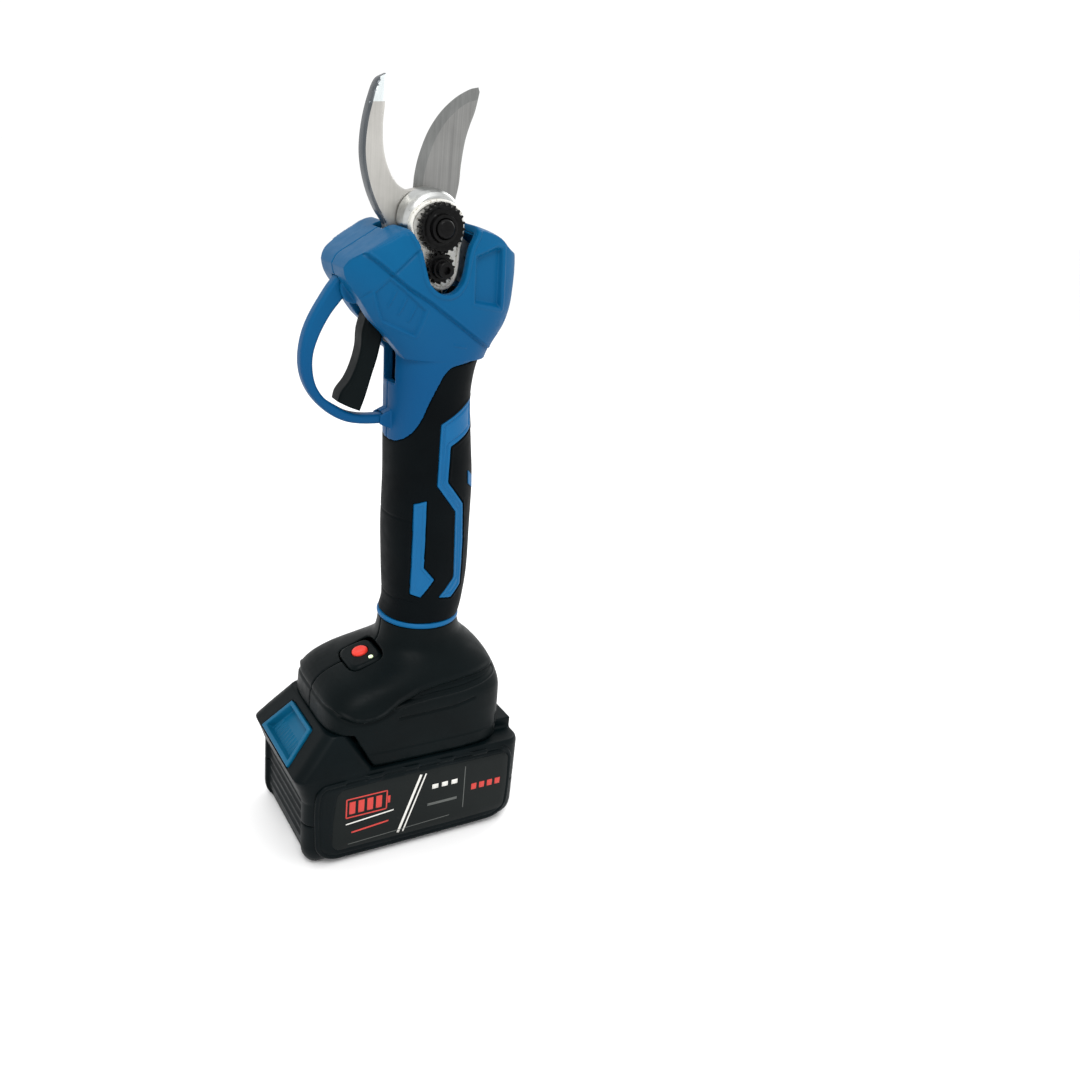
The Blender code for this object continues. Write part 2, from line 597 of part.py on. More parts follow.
# the cast head that carries both blades, the output shaft and the gearbox
BLOCK = [(-29.2, 296.6), (-23.0, 299.0), (2.0, 299.0), (12.4, 292.4), (17.2, 285.0), (17.2, 262), (12, 254.6),
         (-14, 254.6), (-19.0, 260), (-20.6, 270), (-28.6, 276.4)]
head_casting = plate("head_casting", BLOCK, -15.6, CASTING[1], CAST)
join(
    head_casting,
    plate("join_teardrop", TEARDROP, CASTING[0], CASTING[1] - 0.4, cutter=True),
    turned("join_neck", [(0, 243.9), (13.4, 243.9), (13.4, 257.8), (0, 257.8)], cutter=True, at=(DRIVE[0], 0, 0)),
)
cut(
    head_casting,
    rod("cut_chamber", 14.4, (DRIVE[0], -12.4, DRIVE[1]), (DRIVE[0], 20, DRIVE[1]), cutter=True, sides=28),
    rod("cut_bearing_seat", 5.5, (DRIVE[0], -30, DRIVE[1]), (DRIVE[0], -11, DRIVE[1]), cutter=True),
    turned("cut_neck_bore", [(0, 240), (8.2, 240), (8.2, 250.2), (6.6, 250.2), (6.6, 270), (0, 270)],
           cutter=True, at=(DRIVE[0], 0, 0)),
    rod("cut_pivot_hole", 4.3, (PIVOT[0], -30, PIVOT[1]), (PIVOT[0], 0, PIVOT[1]), cutter=True),
    rod("cut_lock_hole", 2.3, (LOCK[0], -30, LOCK[1]), (LOCK[0], -8.6, LOCK[1]), cutter=True, sides=16),
    *[rod(f"cut_casting_screw_{n}", 2.3, (s[0], -30, s[1]), (s[0], 0, s[1]), cutter=True, sides=16)
      for n, s in (("a", SCREW_A), ("b", SCREW_B))],
)
for n, s in (("upper", SCREW_A), ("lower", SCREW_B)):
    screw = turned(
        "blade_screw_" + n,
        [(0, -19.8), (3.3, -19.8), (3.5, -19.4), (3.5, -15.9), (1.7, -15.9), (1.7, 0.5), (0, 0.5)],
        OXIDE, axis="Y", at=(s[0], 0, s[1]), steps=16,
    )
    cut(screw, rod(f"cut_blade_socket_{n}", 1.8, (s[0], -23, s[1]), (s[0], -17.8, s[1]), cutter=True, sides=6))

# cover over the far side of the gear chamber, on two pillars
shaft_r = 2.5
COVER = [(-16.4, 258.4), (13.4, 258.4), (16.6, 262), (13.4, 276), (8, 286), (-1.5, 290.6), (-11, 286), (-16.4, 276),
         (-19.6, 262)]
gear_cover = plate("gear_cover", COVER, 6.6, 9.0, CAST)
join(
    gear_cover,
    *[rod(f"join_pillar_{n}", 2.8, (x, -4.2, 261.4), (x, 8, 261.4), cutter=True, sides=16)
      for n, x in (("left", -15.6), ("right", 12.6))],
)
cut(gear_cover, rod("cut_cover_seat", shaft_r + 0.15, (DRIVE[0], 4, DRIVE[1]), (DRIVE[0], 12, DRIVE[1]), cutter=True))

# ================================================================ drive train
output_pinion = plate(
    "output_pinion",
    tooth_points(SPUR_MODULE, PINION_TEETH, PINION_TEETH, DRIVE, drive_angle + math.pi + math.pi / PINION_TEETH),
    0.9, 4.9, OXIDE,
)
join(output_pinion, rod("join_output_shaft", shaft_r, (DRIVE[0], -17.4, DRIVE[1]), (DRIVE[0], 9.4, DRIVE[1]), cutter=True))
near_bearing = ring("output_bearing", shaft_r + 0.15, 5.2, -17.2, -12.9, DRIVE, BRIGHT, sides=20)

apex = (DRIVE[0], 0, DRIVE[1])
bevel_gear = bevel_teeth("bevel_gear", BEVEL_GEAR_TEETH, BEVEL_PINION_TEETH, apex, (0, -1, 0), (0, 0, -1), 11.2, 3.3, OXIDE)
cut(bevel_gear, rod("cut_bevel_bore", shaft_r + 0.15, (DRIVE[0], -20, DRIVE[1]), (DRIVE[0], 5, DRIVE[1]), cutter=True))
space = math.pi / BEVEL_PINION_TEETH
bevel_pinion = bevel_teeth(
    "bevel_pinion", BEVEL_PINION_TEETH, BEVEL_GEAR_TEETH, apex, (0, 0, -1),
    (math.sin(space), -math.cos(space), 0), 15.4, 7.4, OXIDE,
)
cut(bevel_pinion, rod("cut_bevel_pinion_bore", 2.15, (DRIVE[0], 0, 255), (DRIVE[0], 0, 275), cutter=True))

planet_orbit = STAGE_MODULE * (SUN_TEETH + PLANET_TEETH) / 2
carrier = turned(
    "planet_carrier",
    [(0, 238.2), (9.4, 238.2), (9.4, 240.6), (4.4, 240.6), (4.4, 243.2), (2.0, 243.2), (2.0, 268.0), (0, 268.0)],
    BRIGHT, at=(DRIVE[0], 0, 0),
)
planets = []
for k in range(3):
    turn = 2 * math.pi * k / 3
    x, y = DRIVE[0] + planet_orbit * math.cos(turn), planet_orbit * math.sin(turn)
    join(carrier, rod(f"join_planet_pin_{k + 1}", 1.2, (x, y, 226.6), (x, y, 239), cutter=True, sides=12))
    teeth = tooth_points(STAGE_MODULE, PLANET_TEETH, PLANET_TEETH, (0, 0), turn, backlash=0.2, flank=2)
    planets.append(level_plate(f"planet_gear_{k + 1}", teeth, 227, 237.8, BRIGHT, holes=[circle(1.4, count=12)], centre=(x, y)))
sun = level_plate(
    "sun_gear", tooth_points(STAGE_MODULE, SUN_TEETH, SUN_TEETH, (0, 0), 0.0, backlash=0.2, flank=2),
    226.8, 237.6, OXIDE, holes=[circle(1.65, count=12)], centre=(DRIVE[0], 0),
)
ring_gear = level_plate(
    "ring_gear", circle(MOTOR_R, count=28), 218.4, 243.5, STEEL,
    holes=[ring_tooth_points(STAGE_MODULE, RING_TEETH, 0.0)], centre=(DRIVE[0], 0),
)
carrier_bearing = turned(
    "carrier_bearing", [(2.15, 244.2), (7.9, 244.2), (7.9, 249.9), (2.15, 249.9)], BRIGHT, at=(DRIVE[0], 0, 0), closed=True,
)

# ================================================================ motor
motor_can = turned(
    "motor_can",
    [(4.3, 215.6), (12.3, 215.6), (12.3, MOTOR_Z0), (MOTOR_R, MOTOR_Z0), (MOTOR_R, MOTOR_Z1), (4.3, MOTOR_Z1)],
    OXIDE, at=(DRIVE[0], 0, 0), steps=28, closed=True,
)
motor_stator = turned(
    "motor_stator", [(8.6, 177), (10.6, 174), (12.0, 177), (12.0, 211), (10.6, 214), (8.6, 211)], COPPER,
    at=(DRIVE[0], 0, 0), closed=True,
)
motor_rotor = turned(
    "motor_rotor",
    [(0, 163.4), (1.5, 163.4), (1.5, 178), (8.0, 178), (8.0, 210), (1.5, 210), (1.5, 237.0), (0, 237.0)],
    STEEL, at=(DRIVE[0], 0, 0), steps=18,
)
motor_bearing_front = turned(
    "motor_bearing_front", [(1.65, 213.4), (4.0, 213.4), (4.0, 217.8), (1.65, 217.8)], BRIGHT, at=(DRIVE[0], 0, 0),
    steps=20, closed=True,
)
motor_end_cap = turned(
    "motor_end_cap",
    [(4.3, 162.6), (8, 162.6), (13.2, 164.6), (MOTOR_R, 169.4), (12.0, 169.4), (12.0, 173), (10.9, 173), (10.9, 168),
     (4.3, 168)],
    BLACK, at=(DRIVE[0], 0, 0), closed=True,
)
motor_bearing_rear = turned(
    "motor_bearing_rear", [(1.65, 163.8), (4.0, 163.8), (4.0, 168), (1.65, 168)], BRIGHT, at=(DRIVE[0], 0, 0),
    steps=20, closed=True,
)

# ================================================================ handle and head shells
N_HANDLE = 20


def handle_rings(inset, low=None, high=None, extend=0.0):
    rows = HANDLE if low is None else [row for row in HANDLE if low <= row[0] <= high]
    made = [squircle(c - a, c + a, b, z, 2.15, N_HANDLE, inset) for z, c, a, b in rows]
    if extend:
        made.insert(0, [(x, y, z - extend) for x, y, z in made[0]])
        made.append([(x, y, z + extend) for x, y, z in made[-1]])
    return made


HEAD_LEVELS = [(-HEAD_HALF, 4.0), (-22.6, 1.2), (-19.6, 0), (19.6, 0), (22.6, 1.2), (HEAD_HALF, 4.0)]
CAVITY_LEVELS = [(-21.4, 3.0), (21.4, 3.0)]
region_above = SLEEVE_TOP + [(40, 270), (-40, 270)]


def hull(name, inset):
    return loft(name, [squircle(x0, x1, h, z, p, 32, inset) for z, x0, x1, h, p in HULL], cutter=True)


def shell_body():
    """Outside of both handle shells together, before they're hollowed and parted."""
    body = slab("shell_work", HEAD, HEAD_LEVELS, BLUE)
    boolean(body, hull("keep_hull", 0.0), "INTERSECT")
    upper = loft("join_upper_handle", handle_rings(0.0), cutter=True)
    boolean(upper, plate("keep_upper", region_above, -40, 40, cutter=True), "INTERSECT")
    core = loft("join_core", handle_rings(2.15), cutter=True)
    join(body, upper, core)
    for name, outline in (("stripe", STRIPE), ("arrow", ARROW)):
        for side, y0, y1 in (("near", -30, -6), ("far", 6, 30)):
            pad = loft(f"join_{name}_{side}", handle_rings(0.15), cutter=True)
            boolean(pad, plate(f"keep_{name}_{side}", shrink(outline, GAP), y0, y1, cutter=True), "INTERSECT")
            join(body, pad)
    return body


body = shell_body()
# room inside for the casting, gearbox, motor and cables
head_room = slab("cut_head_cavity", [p for p in HEAD if p[1] > 250 or abs(p[0]) < 30], CAVITY_LEVELS, cutter=True)
boolean(head_room, hull("keep_room", 2.4), "INTERSECT")
cut(
    body,
    head_room,
    loft("cut_handle_cavity", handle_rings(4.1, extend=6.0), cutter=True),
)
# U-shaped windows on both sides of the pivot, and the slot that the blades work in
window = [(x, z) for x, z in shrink(TEARDROP, -1.5) if z < 306]
window = [(-26.6, 330), (-26.4, 304)] + [p for p in window if p[0] < -9 and p[1] < 300] + \
    [p for p in window if p[0] >= -9 and p[1] < 300] + [(6.0, 303), (6.6, 330)]
cut(
    body,
    plate("cut_window_near", window, -40, -4, cutter=True),
    plate("cut_window_far", window, 4, 40, cutter=True),
    plate("cut_blade_slot", [(-31.6, 330), (-31.6, 292), (13.8, 292), (16.4, 299), (16.4, 330)], -5.2, 6.6, cutter=True),
)
# slot for the trigger and its swing
cut(body, plate("cut_trigger_slot", [(-50, 262.6), (-41.4, 268.6), (-36.8, 273.6), (-22, 273.6), (-17, 262), (-14, 233),
                                     (-40, 233), (-60, 240)], -6.2, 6.2, cutter=True))

# trigger guard: a bow held between the shells at its two ends
GUARD = GUARD_OUTER + GUARD_INNER
trigger_guard = slab("trigger_guard", GUARD, [(-3.6, 1.1), (-2.5, 0.0), (2.5, 0.0), (3.6, 1.1)], BLUE)
cut(body, slab("cut_guard_seat", shrink(GUARD, -0.35), [(-4.0, 0), (4.0, 0)], cutter=True))

# screw bosses shared by the two shells
SHELL_SCREWS = [(22.6, 286.0, 23.0), (22.0, 265.5, 23.0)]
for n, (x, z, _) in enumerate(SHELL_SCREWS, 1):
    join(body, rod(f"join_boss_{n}", 3.4, (x, -17.5, z), (x, 17.5, z), cutter=True, sides=16))
for n, (x, z, _) in enumerate(SHELL_SCREWS, 1):
    cut(
        body,
        rod(f"cut_boss_{n}", 1.8, (x, -15.6, z), (x, 30, z), cutter=True, sides=12),
        rod(f"cut_boss_head_{n}", 3.0, (x, 15.4, z), (x, 30, z), cutter=True, sides=16),
    )
settle(body)
for name, y0, y1 in (("shell_left", -60, -0.15), ("shell_right", 0.15, 60)):
    half = bpy.data.objects.new(name, body.data.copy())
    PARTS.objects.link(half)
    boolean(half, block("keep_" + name, (-90, y0, 90), (90, y1, 330), cutter=True), "INTERSECT")
bpy.data.objects.remove(body, do_unlink=True)
for n, (x, z, _) in enumerate(SHELL_SCREWS, 1):
    screw = turned(
        f"shell_screw_{n}", [(0, -14.4), (1.5, -14.4), (1.5, 15.8), (2.7, 15.8), (2.7, 17.6), (2.2, 18.2), (0, 18.2)],
        OXIDE, axis="Y", at=(x, 0, z), steps=12,
    )
    cut(screw, rod(f"cut_shell_socket_{n}", 1.3, (x, 16.8, z), (x, 23, z), cutter=True, sides=6))

# rubber sleeve over the handle, with windows for the blue inlays
grip_sleeve = loft("grip_sleeve", handle_rings(0.0, 0, 252), RUBBER)
cut(
    grip_sleeve,
    loft("cut_sleeve_core", handle_rings(1.85, extend=3.0), cutter=True),
    plate("cut_sleeve_top", shrink(region_above, -GAP), -40, 40, cutter=True),
    plate("cut_sleeve_head", shrink(HEAD, -GAP), -41, 41, cutter=True),
)
for name, outline in (("stripe", STRIPE), ("arrow", ARROW)):
    for side, y0, y1 in (("near", -40, -5.6), ("far", 5.6, 40)):
        cut(grip_sleeve, plate(f"cut_{name}_{side}", outline, y0, y1, cutter=True))

collar_ring = turned(
    "collar_ring", [(15.4, 113.4), (20.1, 113.4), (20.1, 115.8), (15.4, 115.8)], BLUE, at=(0.15, 0, 0), steps=28, closed=True,
)

# ================================================================ trigger
trigger = slab("trigger", TRIGGER, [(-5.4, 1.2), (-4.2, 0.0), (4.2, 0.0), (5.4, 1.2)], BLACK)
tx, tz = TRIGGER_PIVOT
cut(trigger, rod("cut_trigger_bore", 1.8, (tx, -10, tz), (tx, 10, tz), cutter=True, sides=16))
cut(trigger, block("cut_trigger_spring_room", (tx - 3.3, -2.7, tz - 3.4), (tx + 9, 2.7, tz + 9), cutter=True))
trigger_pin = rod("trigger_pin", 1.5, (tx, -15.2, tz), (tx, 15.2, tz), BRIGHT, sides=16)
trigger_spring = coil("trigger_spring", (tx, -1.9, tz), (tx, 1.9, tz), 2.3, 0.4, 3, BRIGHT, per_turn=8)
trigger_switch = block("trigger_switch", (-24.6, -3.2, 250.6), (-18.6, 3.2, 261.6), BLACK, bevel=0.4)
join(trigger_switch, rod("join_switch_plunger", 1.0, (-25.3, 0, 253.4), (-23, 0, 253.4), cutter=True, sides=10))

# ================================================================ base, switch pod and electronics
def base_rings(inset, low=0.0, high=200.0):
    return [squircle(x0, x1, h, z, p, 24, inset) for z, x0, x1, h, p in BASE if low <= z <= high]


base = loft("base_work", base_rings(0.0), BLACK)
RAIL = [(-24.5, 40), (24.5, 40), (24.5, 54.8), (28.2, 54.8), (28.2, 62.2), (-28.2, 62.2), (-28.2, 54.8), (-24.5, 54.8)]


def along_x(name, section, x0, x1, material=None, cutter=False):
    """A bar along X with the given y, z section."""
    return loft(name, [[(x, y, z) for y, z in section] for x in (x0, x1)], material, cutter)


cavity = base_rings(2.6, 84)
cavity.insert(0, squircle(-55.3, 39.7, 33.8, 65.4, 5.0, 24, 2.6))
cavity.append([(x, y, 130) for x, y, z in cavity[-1]])
cut(
    base,
    loft("cut_base_cavity", cavity, cutter=True),
    along_x("cut_rail_channel", RAIL, -80, 36.6, cutter=True),
    block("cut_rear_lip", (30, -24.5, 40), (60, 24.5, 55.8), cutter=True),
    plate("cut_nose_room", [(-90, 30), (-90, 68.6), (-43.7, 68.6), (-33.6, 49.6), (-33.6, 30)], -60, 60, cutter=True),
    block("cut_terminal_room", (-18, -17, 60), (16, 17, 68), cutter=True),
)
# seat for the switch pod on the sloping top
POD = (-29.5, -2.0)
POD_TILT = math.radians(17)
pod_frame = Matrix.Translation((POD[0] * MM, POD[1] * MM, 92.8 * MM)) @ Matrix.Rotation(-POD_TILT, 4, "Y")


def pod_ring(half_x, half_y, z, power=4.5, count=20):
    return [pod_frame @ (Vector(p) * MM) / MM for p in squircle(-half_x, half_x, half_y, z, power, count)]


cut(base, loft("cut_pod_seat", [pod_ring(9.4, 11.4, -9), pod_ring(9.4, 11.4, 12)], cutter=True))
BASE_SCREWS = [(26.0, 76.2), (-39.0, 76.2)]
for n, (x, z) in enumerate(BASE_SCREWS, 1):
    join(base, rod(f"join_base_boss_{n}", 3.2, (x, -31.6, z), (x, 31.6, z), cutter=True, sides=14))
for n, (x, z) in enumerate(BASE_SCREWS, 1):
    cut(
        base,
        rod(f"cut_base_boss_{n}", 1.8, (x, -24, z), (x, 50, z), cutter=True, sides=10),
        rod(f"cut_base_head_{n}", 3.0, (x, 24.0, z), (x, 50, z), cutter=True, sides=16),
    )
settle(base)
for name, y0, y1 in (("base_left", -60, -0.15), ("base_right", 0.15, 60)):
    half = bpy.data.objects.new(name, base.data.copy())
    PARTS.objects.link(half)
    boolean(half, block("keep_" + name, (-90, y0, 30), (90, y1, 140), cutter=True), "INTERSECT")
bpy.data.objects.remove(base, do_unlink=True)
for n, (x, z) in enumerate(BASE_SCREWS, 1):
    screw = turned(
        f"base_screw_{n}", [(0, -23.4), (1.5, -23.4), (1.5, 24.4), (2.7, 24.4), (2.7, 26.4), (2.2, 27.0), (0, 27.0)],
        OXIDE, axis="Y", at=(x, 0, z), steps=12,
    )
    cut(screw, rod(f"cut_base_socket_{n}", 1.3, (x, 25.6, z), (x, 30, z), cutter=True, sides=6))

switch_pod = loft("switch_pod", [pod_ring(9.0, 11.0, -7), pod_ring(9.0, 11.0, 2.0), pod_ring(7.6, 9.6, 3.4)], BLACK)
button_at = pod_frame @ Vector((0.4 * MM, 1.6 * MM, 0)) / MM
up = (pod_frame.to_3x3() @ Vector((0, 0, 1))).normalized()
led_at = pod_frame @ Vector((3.0 * MM, -6.6 * MM, 0)) / MM
cut(
    switch_pod,
    rod("cut_button_hole", 4.4, button_at - 9 * up, button_at + 9 * up, cutter=True, sides=20),
    rod("cut_led_hole", 1.5, led_at - 9 * up, led_at + 9 * up, cutter=True, sides=12),
)
power_button = rod("power_button", 4.0, button_at - 5.2 * up, button_at + 4.4 * up, RED, sides=20)
led_lens = rod("led_lens", 1.2, led_at - 5.2 * up, led_at + 3.7 * up, LED, sides=12)

control_board = block("control_board", (-41, -24, 70.6), (27, 24, 72.4), BOARD)
join(
    control_board,
    block("join_mosfets", (-10, -20, 72), (14, -12, 79), cutter=True),
    rod("join_capacitor", 5.0, (16, 4, 72), (16, 4, 84), cutter=True, sides=14),
    block("join_processor", (-24, -4, 72), (-14, 6, 74.4), cutter=True),
)
terminal_block = block("terminal_block", (-16, -15, 62.9), (13, 15, 69.9), BLACK, bevel=0.5)
join(
    terminal_block,
    *[block(f"join_contact_{n}", (-8, y - 0.5, 56.2), (7, y + 0.5, 64), cutter=True) for n, y in (("a", -11), ("b", 11))],
)
motor_cable = tube(
    "motor_cable",
    [(-1.5, 8.4, 161.6), (-1.5, 8.8, 154), (-1.0, 6, 142), (-0.6, 1.5, 128), (-0.5, -1, 112), (-1.5, -3, 98), (-3, -5, 86),
     (-4.0, -6, 76)],
    2.4, CABLE,
)
switch_cable = tube(
    "switch_cable",
    [(-17.8, 2.0, 255.0), (-16.6, 4.6, 249.6), (-14.9, 9.0, 243.5), (-8.6, 13.9, 234), (-2.4, 15.2, 224), (-1.8, 15.3, 205),
     (-1.6, 15.3, 180), (-1.4, 15.2, 164), (-1.0, 13.6, 148), (0.4, 11.6, 128), (2.0, 10.6, 112), (3, 10, 96), (4, 8.6, 80.4)],
    0.75, CABLE, resolution=1,
)

# ================================================================ battery
fx, rx, hw, top = BATTERY
MID = 24.0


def battery_ring(z, inset=0.0, front=0.0):
    return rounded(fx + front, rx, hw, z, 7.5, inset)


lower = loft(
    "battery_case_lower",
    [battery_ring(0, 4.5), battery_ring(1.2, 1.8), battery_ring(3.6, 0.4), battery_ring(6.5), battery_ring(MID - 0.15)], BLACK,
)
cut(lower, block("cut_lower_cavity", (fx + 9.0, -33.6, 2.6), (rx - 3.2, 33.6, 40), cutter=True))
upper = loft("battery_case_upper", [battery_ring(MID + 0.15), battery_ring(46.6), battery_ring(48.8, 0.7), battery_ring(top, 1.6)], BLACK)
NOSE = [(37, -68.3, -30, 35.9, 7), (44, -70.6, -30.6, 35.9, 7), (50.0, -73.0, -34.2, 35.4, 6),
        (56, -67.5, -37.6, 33.6, 6), (68.2, -56.2, -44.2, 29.2, 6)]
T_SECTION = [(-24, 45.5), (24, 45.5), (24, 55.1), (27.7, 55.1), (27.7, 61.8), (-27.7, 61.8), (-27.7, 55.1), (-24, 55.1)]
join(
    upper,
    loft("join_nose", [rounded(x0, x1, h, z, r, per_corner=4) for z, x0, x1, h, r in NOSE], cutter=True),
    along_x("join_rail", T_SECTION, -44.0, 36.2, cutter=True),
    block("join_rear_lip", (30, -23.7, 45.7), (47.4, 23.7, 54.8), cutter=True, bevel=1.4),
)
cut(
    upper,
    block("cut_upper_cavity", (fx + 9.0, -33.6, 10), (rx - 3.2, 33.6, 46.8), cutter=True),
    *[block(f"cut_contact_slot_{n}", (-10, y - 1.3, 55.6), (60, y + 1.3, 70), cutter=True) for n, y in (("a", -11), ("b", 11))],
)
for case, low, high, name in ((lower, 3.0, MID - 0.4, "lower"), (upper, MID + 0.4, 47.4, "upper")):
    for side in (-1, 1):
        outline = [(-62.5, low), (42.6, low), (42.6, high - 5), (38, high), (-58, high), (-62.5, high - 4)]
        if name == "lower":
            outline = [(x, low + high - z) for x, z in outline]
        y0, y1 = sorted((side * 34.6, side * 37.5))
        join(case, plate(f"join_side_{name}_{'l' if side < 0 else 'r'}", outline, y0, y1, cutter=True))
LABEL_BOX = [(-52, 8.4), (37, 8.4), (40, 11.4), (40, 40.0), (37.6, 43.0), (-50, 43.0), (-53.4, 39.8), (-55, 12)]
for side, tag in ((-1, "left"), (1, "right")):
    y0, y1 = sorted((side * 37.1, side * 39))
    pocket = plate("cut_label_" + tag, shrink(LABEL_BOX, -GAP), y0, y1, cutter=True)
    cut(lower, pocket)
    cut(upper, pocket)
    y0, y1 = sorted((side * 37.4, side * 37.65))
    plate("battery_label_" + tag, LABEL_BOX, y0, y1, LABEL)

# release button on the sloping nose, pushed in square to the slope
slope_a, slope_b = Vector((-73.0, 0, 49.8)), Vector((-56.2, 0, 68.2))
along = (slope_b - slope_a).normalized()
out = Vector((-along.z, 0, along.x))


def slope_point(u, y, n):
    return tuple(slope_a + along * u + out * n + Vector((0, y, 0)))


def slope_prism(name, u0, u1, wide0, wide1, n0, n1, material=None, cutter=False):
    rows = [[slope_point(u0, -wide0, n), slope_point(u1, -wide1, n), slope_point(u1, wide1, n), slope_point(u0, wide0, n)]
            for n in (n0, n1)]
    return loft(name, rows, material, cutter)


pocket = slope_prism("cut_button_pocket", 0.6, 21.4, 20.6, 14.6, -14.5, 8, cutter=True)
cut(upper, pocket)
release = slope_prism("battery_release_button", 1.0, 21.0, 20.1, 14.1, -8.0, 0.9, BLUE)
cut(release, slope_prism("cut_button_scoop", 4.2, 18.2, 15.4, 11.6, -4.0, 3.0, cutter=True))
spring_a = Vector(slope_point(11, 0, -9.0))
latch_spring = coil("latch_spring", spring_a, spring_a - out * 4.6, 3.4, 0.5, 3, BRIGHT, per_turn=8)

# cells: two rows of five, each row welded by its nickel strips into one unit
for n, (name, z) in enumerate((("cell_row_lower", 12.6), ("cell_row_upper", 32.2))):
    xs = [-46.6 + 19.2 * k for k in range(5)]
    row = rod(name, CELL_R, (xs[0], -CELL_LENGTH / 2, z), (xs[0], CELL_LENGTH / 2, z), CELL, sides=12)
    for k, x in enumerate(xs[1:], 2):
        join(row, rod(f"join_{name}_{k}", CELL_R, (x, -CELL_LENGTH / 2, z), (x, CELL_LENGTH / 2, z), cutter=True, sides=12))
    for side in (-1, 1):
        y0, y1 = sorted((side * (CELL_LENGTH / 2 - 0.1), side * (CELL_LENGTH / 2 + 0.4)))
        join(row, block(f"join_{name}_strip_{'l' if side < 0 else 'r'}", (xs[0] - 4, y0, z - 4), (xs[-1] + 4, y1, z + 4), cutter=True))
battery_board = block("battery_board", (-44, -22, 43.0), (36, 22, 44.6), BOARD)

# ================================================================ joint axes
parts = bpy.data.objects
joint_axis("blade_swing", (PIVOT[0], 0, PIVOT[1]), moving_blade, pivot_bush)
joint_axis("output_spin", (DRIVE[0], 0, DRIVE[1]), output_pinion, bevel_gear)
spin = joint_axis("carrier_spin", (DRIVE[0], 0, 238), carrier, bevel_pinion)
for k, planet in enumerate(planets):
    turn = 2 * math.pi * k / 3
    joint_axis(f"planet_{k + 1}_spin", (DRIVE[0] + planet_orbit * math.cos(turn), planet_orbit * math.sin(turn), 232), planet)
joint_axis("motor_spin", (DRIVE[0], 0, 190), motor_rotor, sun)
joint_axis("trigger_pull", (tx, 0, tz), trigger)
joint_axis("button_press", tuple(button_at), power_button)
joint_axis("battery_slide", (0, 0, 0), *[o for o in PARTS.objects if o.name.startswith(("battery_case", "battery_label", "cell_row", "battery_board"))])
joint_axis("release_press", tuple(spring_a), release)

for obj in PARTS.objects:
    obj.data.shade_smooth() if hasattr(obj.data, "shade_smooth") else None
    obj.data.set_sharp_from_angle(angle=math.radians(32))
bpy.context.view_layer.update()
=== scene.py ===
"""Visual model of the cordless battery pruner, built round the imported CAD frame.

Shapes are worked out in millimetres in the CAD's own frame and turned to metres when a piece is finished.
"""

import json
import math

import bmesh
import bpy
import numpy as np
from mathutils import Matrix, Vector
from mathutils.geometry import delaunay_2d_cdt


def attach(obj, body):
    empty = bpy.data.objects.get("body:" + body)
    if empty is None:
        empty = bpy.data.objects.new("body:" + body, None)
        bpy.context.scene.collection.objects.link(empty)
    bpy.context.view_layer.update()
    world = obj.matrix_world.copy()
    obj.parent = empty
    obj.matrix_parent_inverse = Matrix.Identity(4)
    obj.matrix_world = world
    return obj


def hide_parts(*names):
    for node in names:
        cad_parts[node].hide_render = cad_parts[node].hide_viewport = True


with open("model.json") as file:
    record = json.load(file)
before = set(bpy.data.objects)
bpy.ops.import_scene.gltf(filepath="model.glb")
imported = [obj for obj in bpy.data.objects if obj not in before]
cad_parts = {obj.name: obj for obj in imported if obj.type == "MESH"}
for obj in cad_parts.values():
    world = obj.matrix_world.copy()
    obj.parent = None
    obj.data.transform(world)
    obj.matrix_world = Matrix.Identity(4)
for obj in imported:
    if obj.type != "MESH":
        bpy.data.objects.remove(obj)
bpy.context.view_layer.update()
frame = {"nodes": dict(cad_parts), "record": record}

# ------------------------------------------------------------------ dimensions shared with the CAD, in mm
PIVOT, DRIVE, LOCK = (-10.5, 303.0), (-1.5, 276.0), (-10.3, 286.6)
HANDLE = [
    (116.2, 0.3, 19.6, 19.6), (122, 1.6, 19.6, 19.6), (139, 1.8, 20.9, 20.5), (162, 0.9, 21.4, 20.8),
    (187, 0.4, 21.2, 20.8), (207, -1.2, 20.5, 20.5), (226, -2.6, 19.7, 20.5), (240, -2.3, 20.4, 21.1),
    (251, -1.0, 22.2, 22.0), (262, 0.0, 24.0, 22.6),
]
BASE = [
    (49.7, -55.3, 39.7, 33.8, 5.0), (78, -55.0, 39.8, 34.0, 4.6), (84, -52.8, 38.9, 32.9, 4.0),
    (89, -47.0, 37.0, 30.8, 3.5), (93, -37.0, 34.8, 28.2, 3.0), (97, -27.5, 31.5, 25.0, 2.6),
    (101, -22.0, 27.0, 22.2, 2.3), (106, -20.2, 22.2, 20.3, 2.1), (113.0, -19.6, 19.9, 19.7, 2.0),
]
HEAD = [
    (-27, 301.6), (2, 304.8), (10, 303.4), (18, 300.3), (23.6, 295.9), (29, 293.2), (30.2, 291.2),
    (29.2, 281), (28.6, 272.6), (28.8, 266), (27.6, 261.2), (23, 258), (19.5, 253), (18, 246), (-21, 246),
    (-25, 250.5), (-31, 257), (-36.4, 262), (-42.5, 270.5), (-49, 279), (-50.6, 284.3), (-48.6, 288),
    (-42.6, 292.2), (-35, 297),
]
HULL = [
    (238, -23, 21, 21.0, 2.2), (246, -25.5, 22.5, 21.6, 2.3), (252, -29.5, 25, 22.2, 2.5), (257, -34, 27.5, 22.8, 2.7),
    (262, -39.5, 30, 23.4, 2.8), (270.5, -46, 32, 24, 3.0), (279, -52.0, 33, 24, 3.0), (286, -53.6, 33, 24, 3.0),
    (296, -51, 32, 23.6, 3.0), (306, -45, 31, 22.8, 2.9),
]
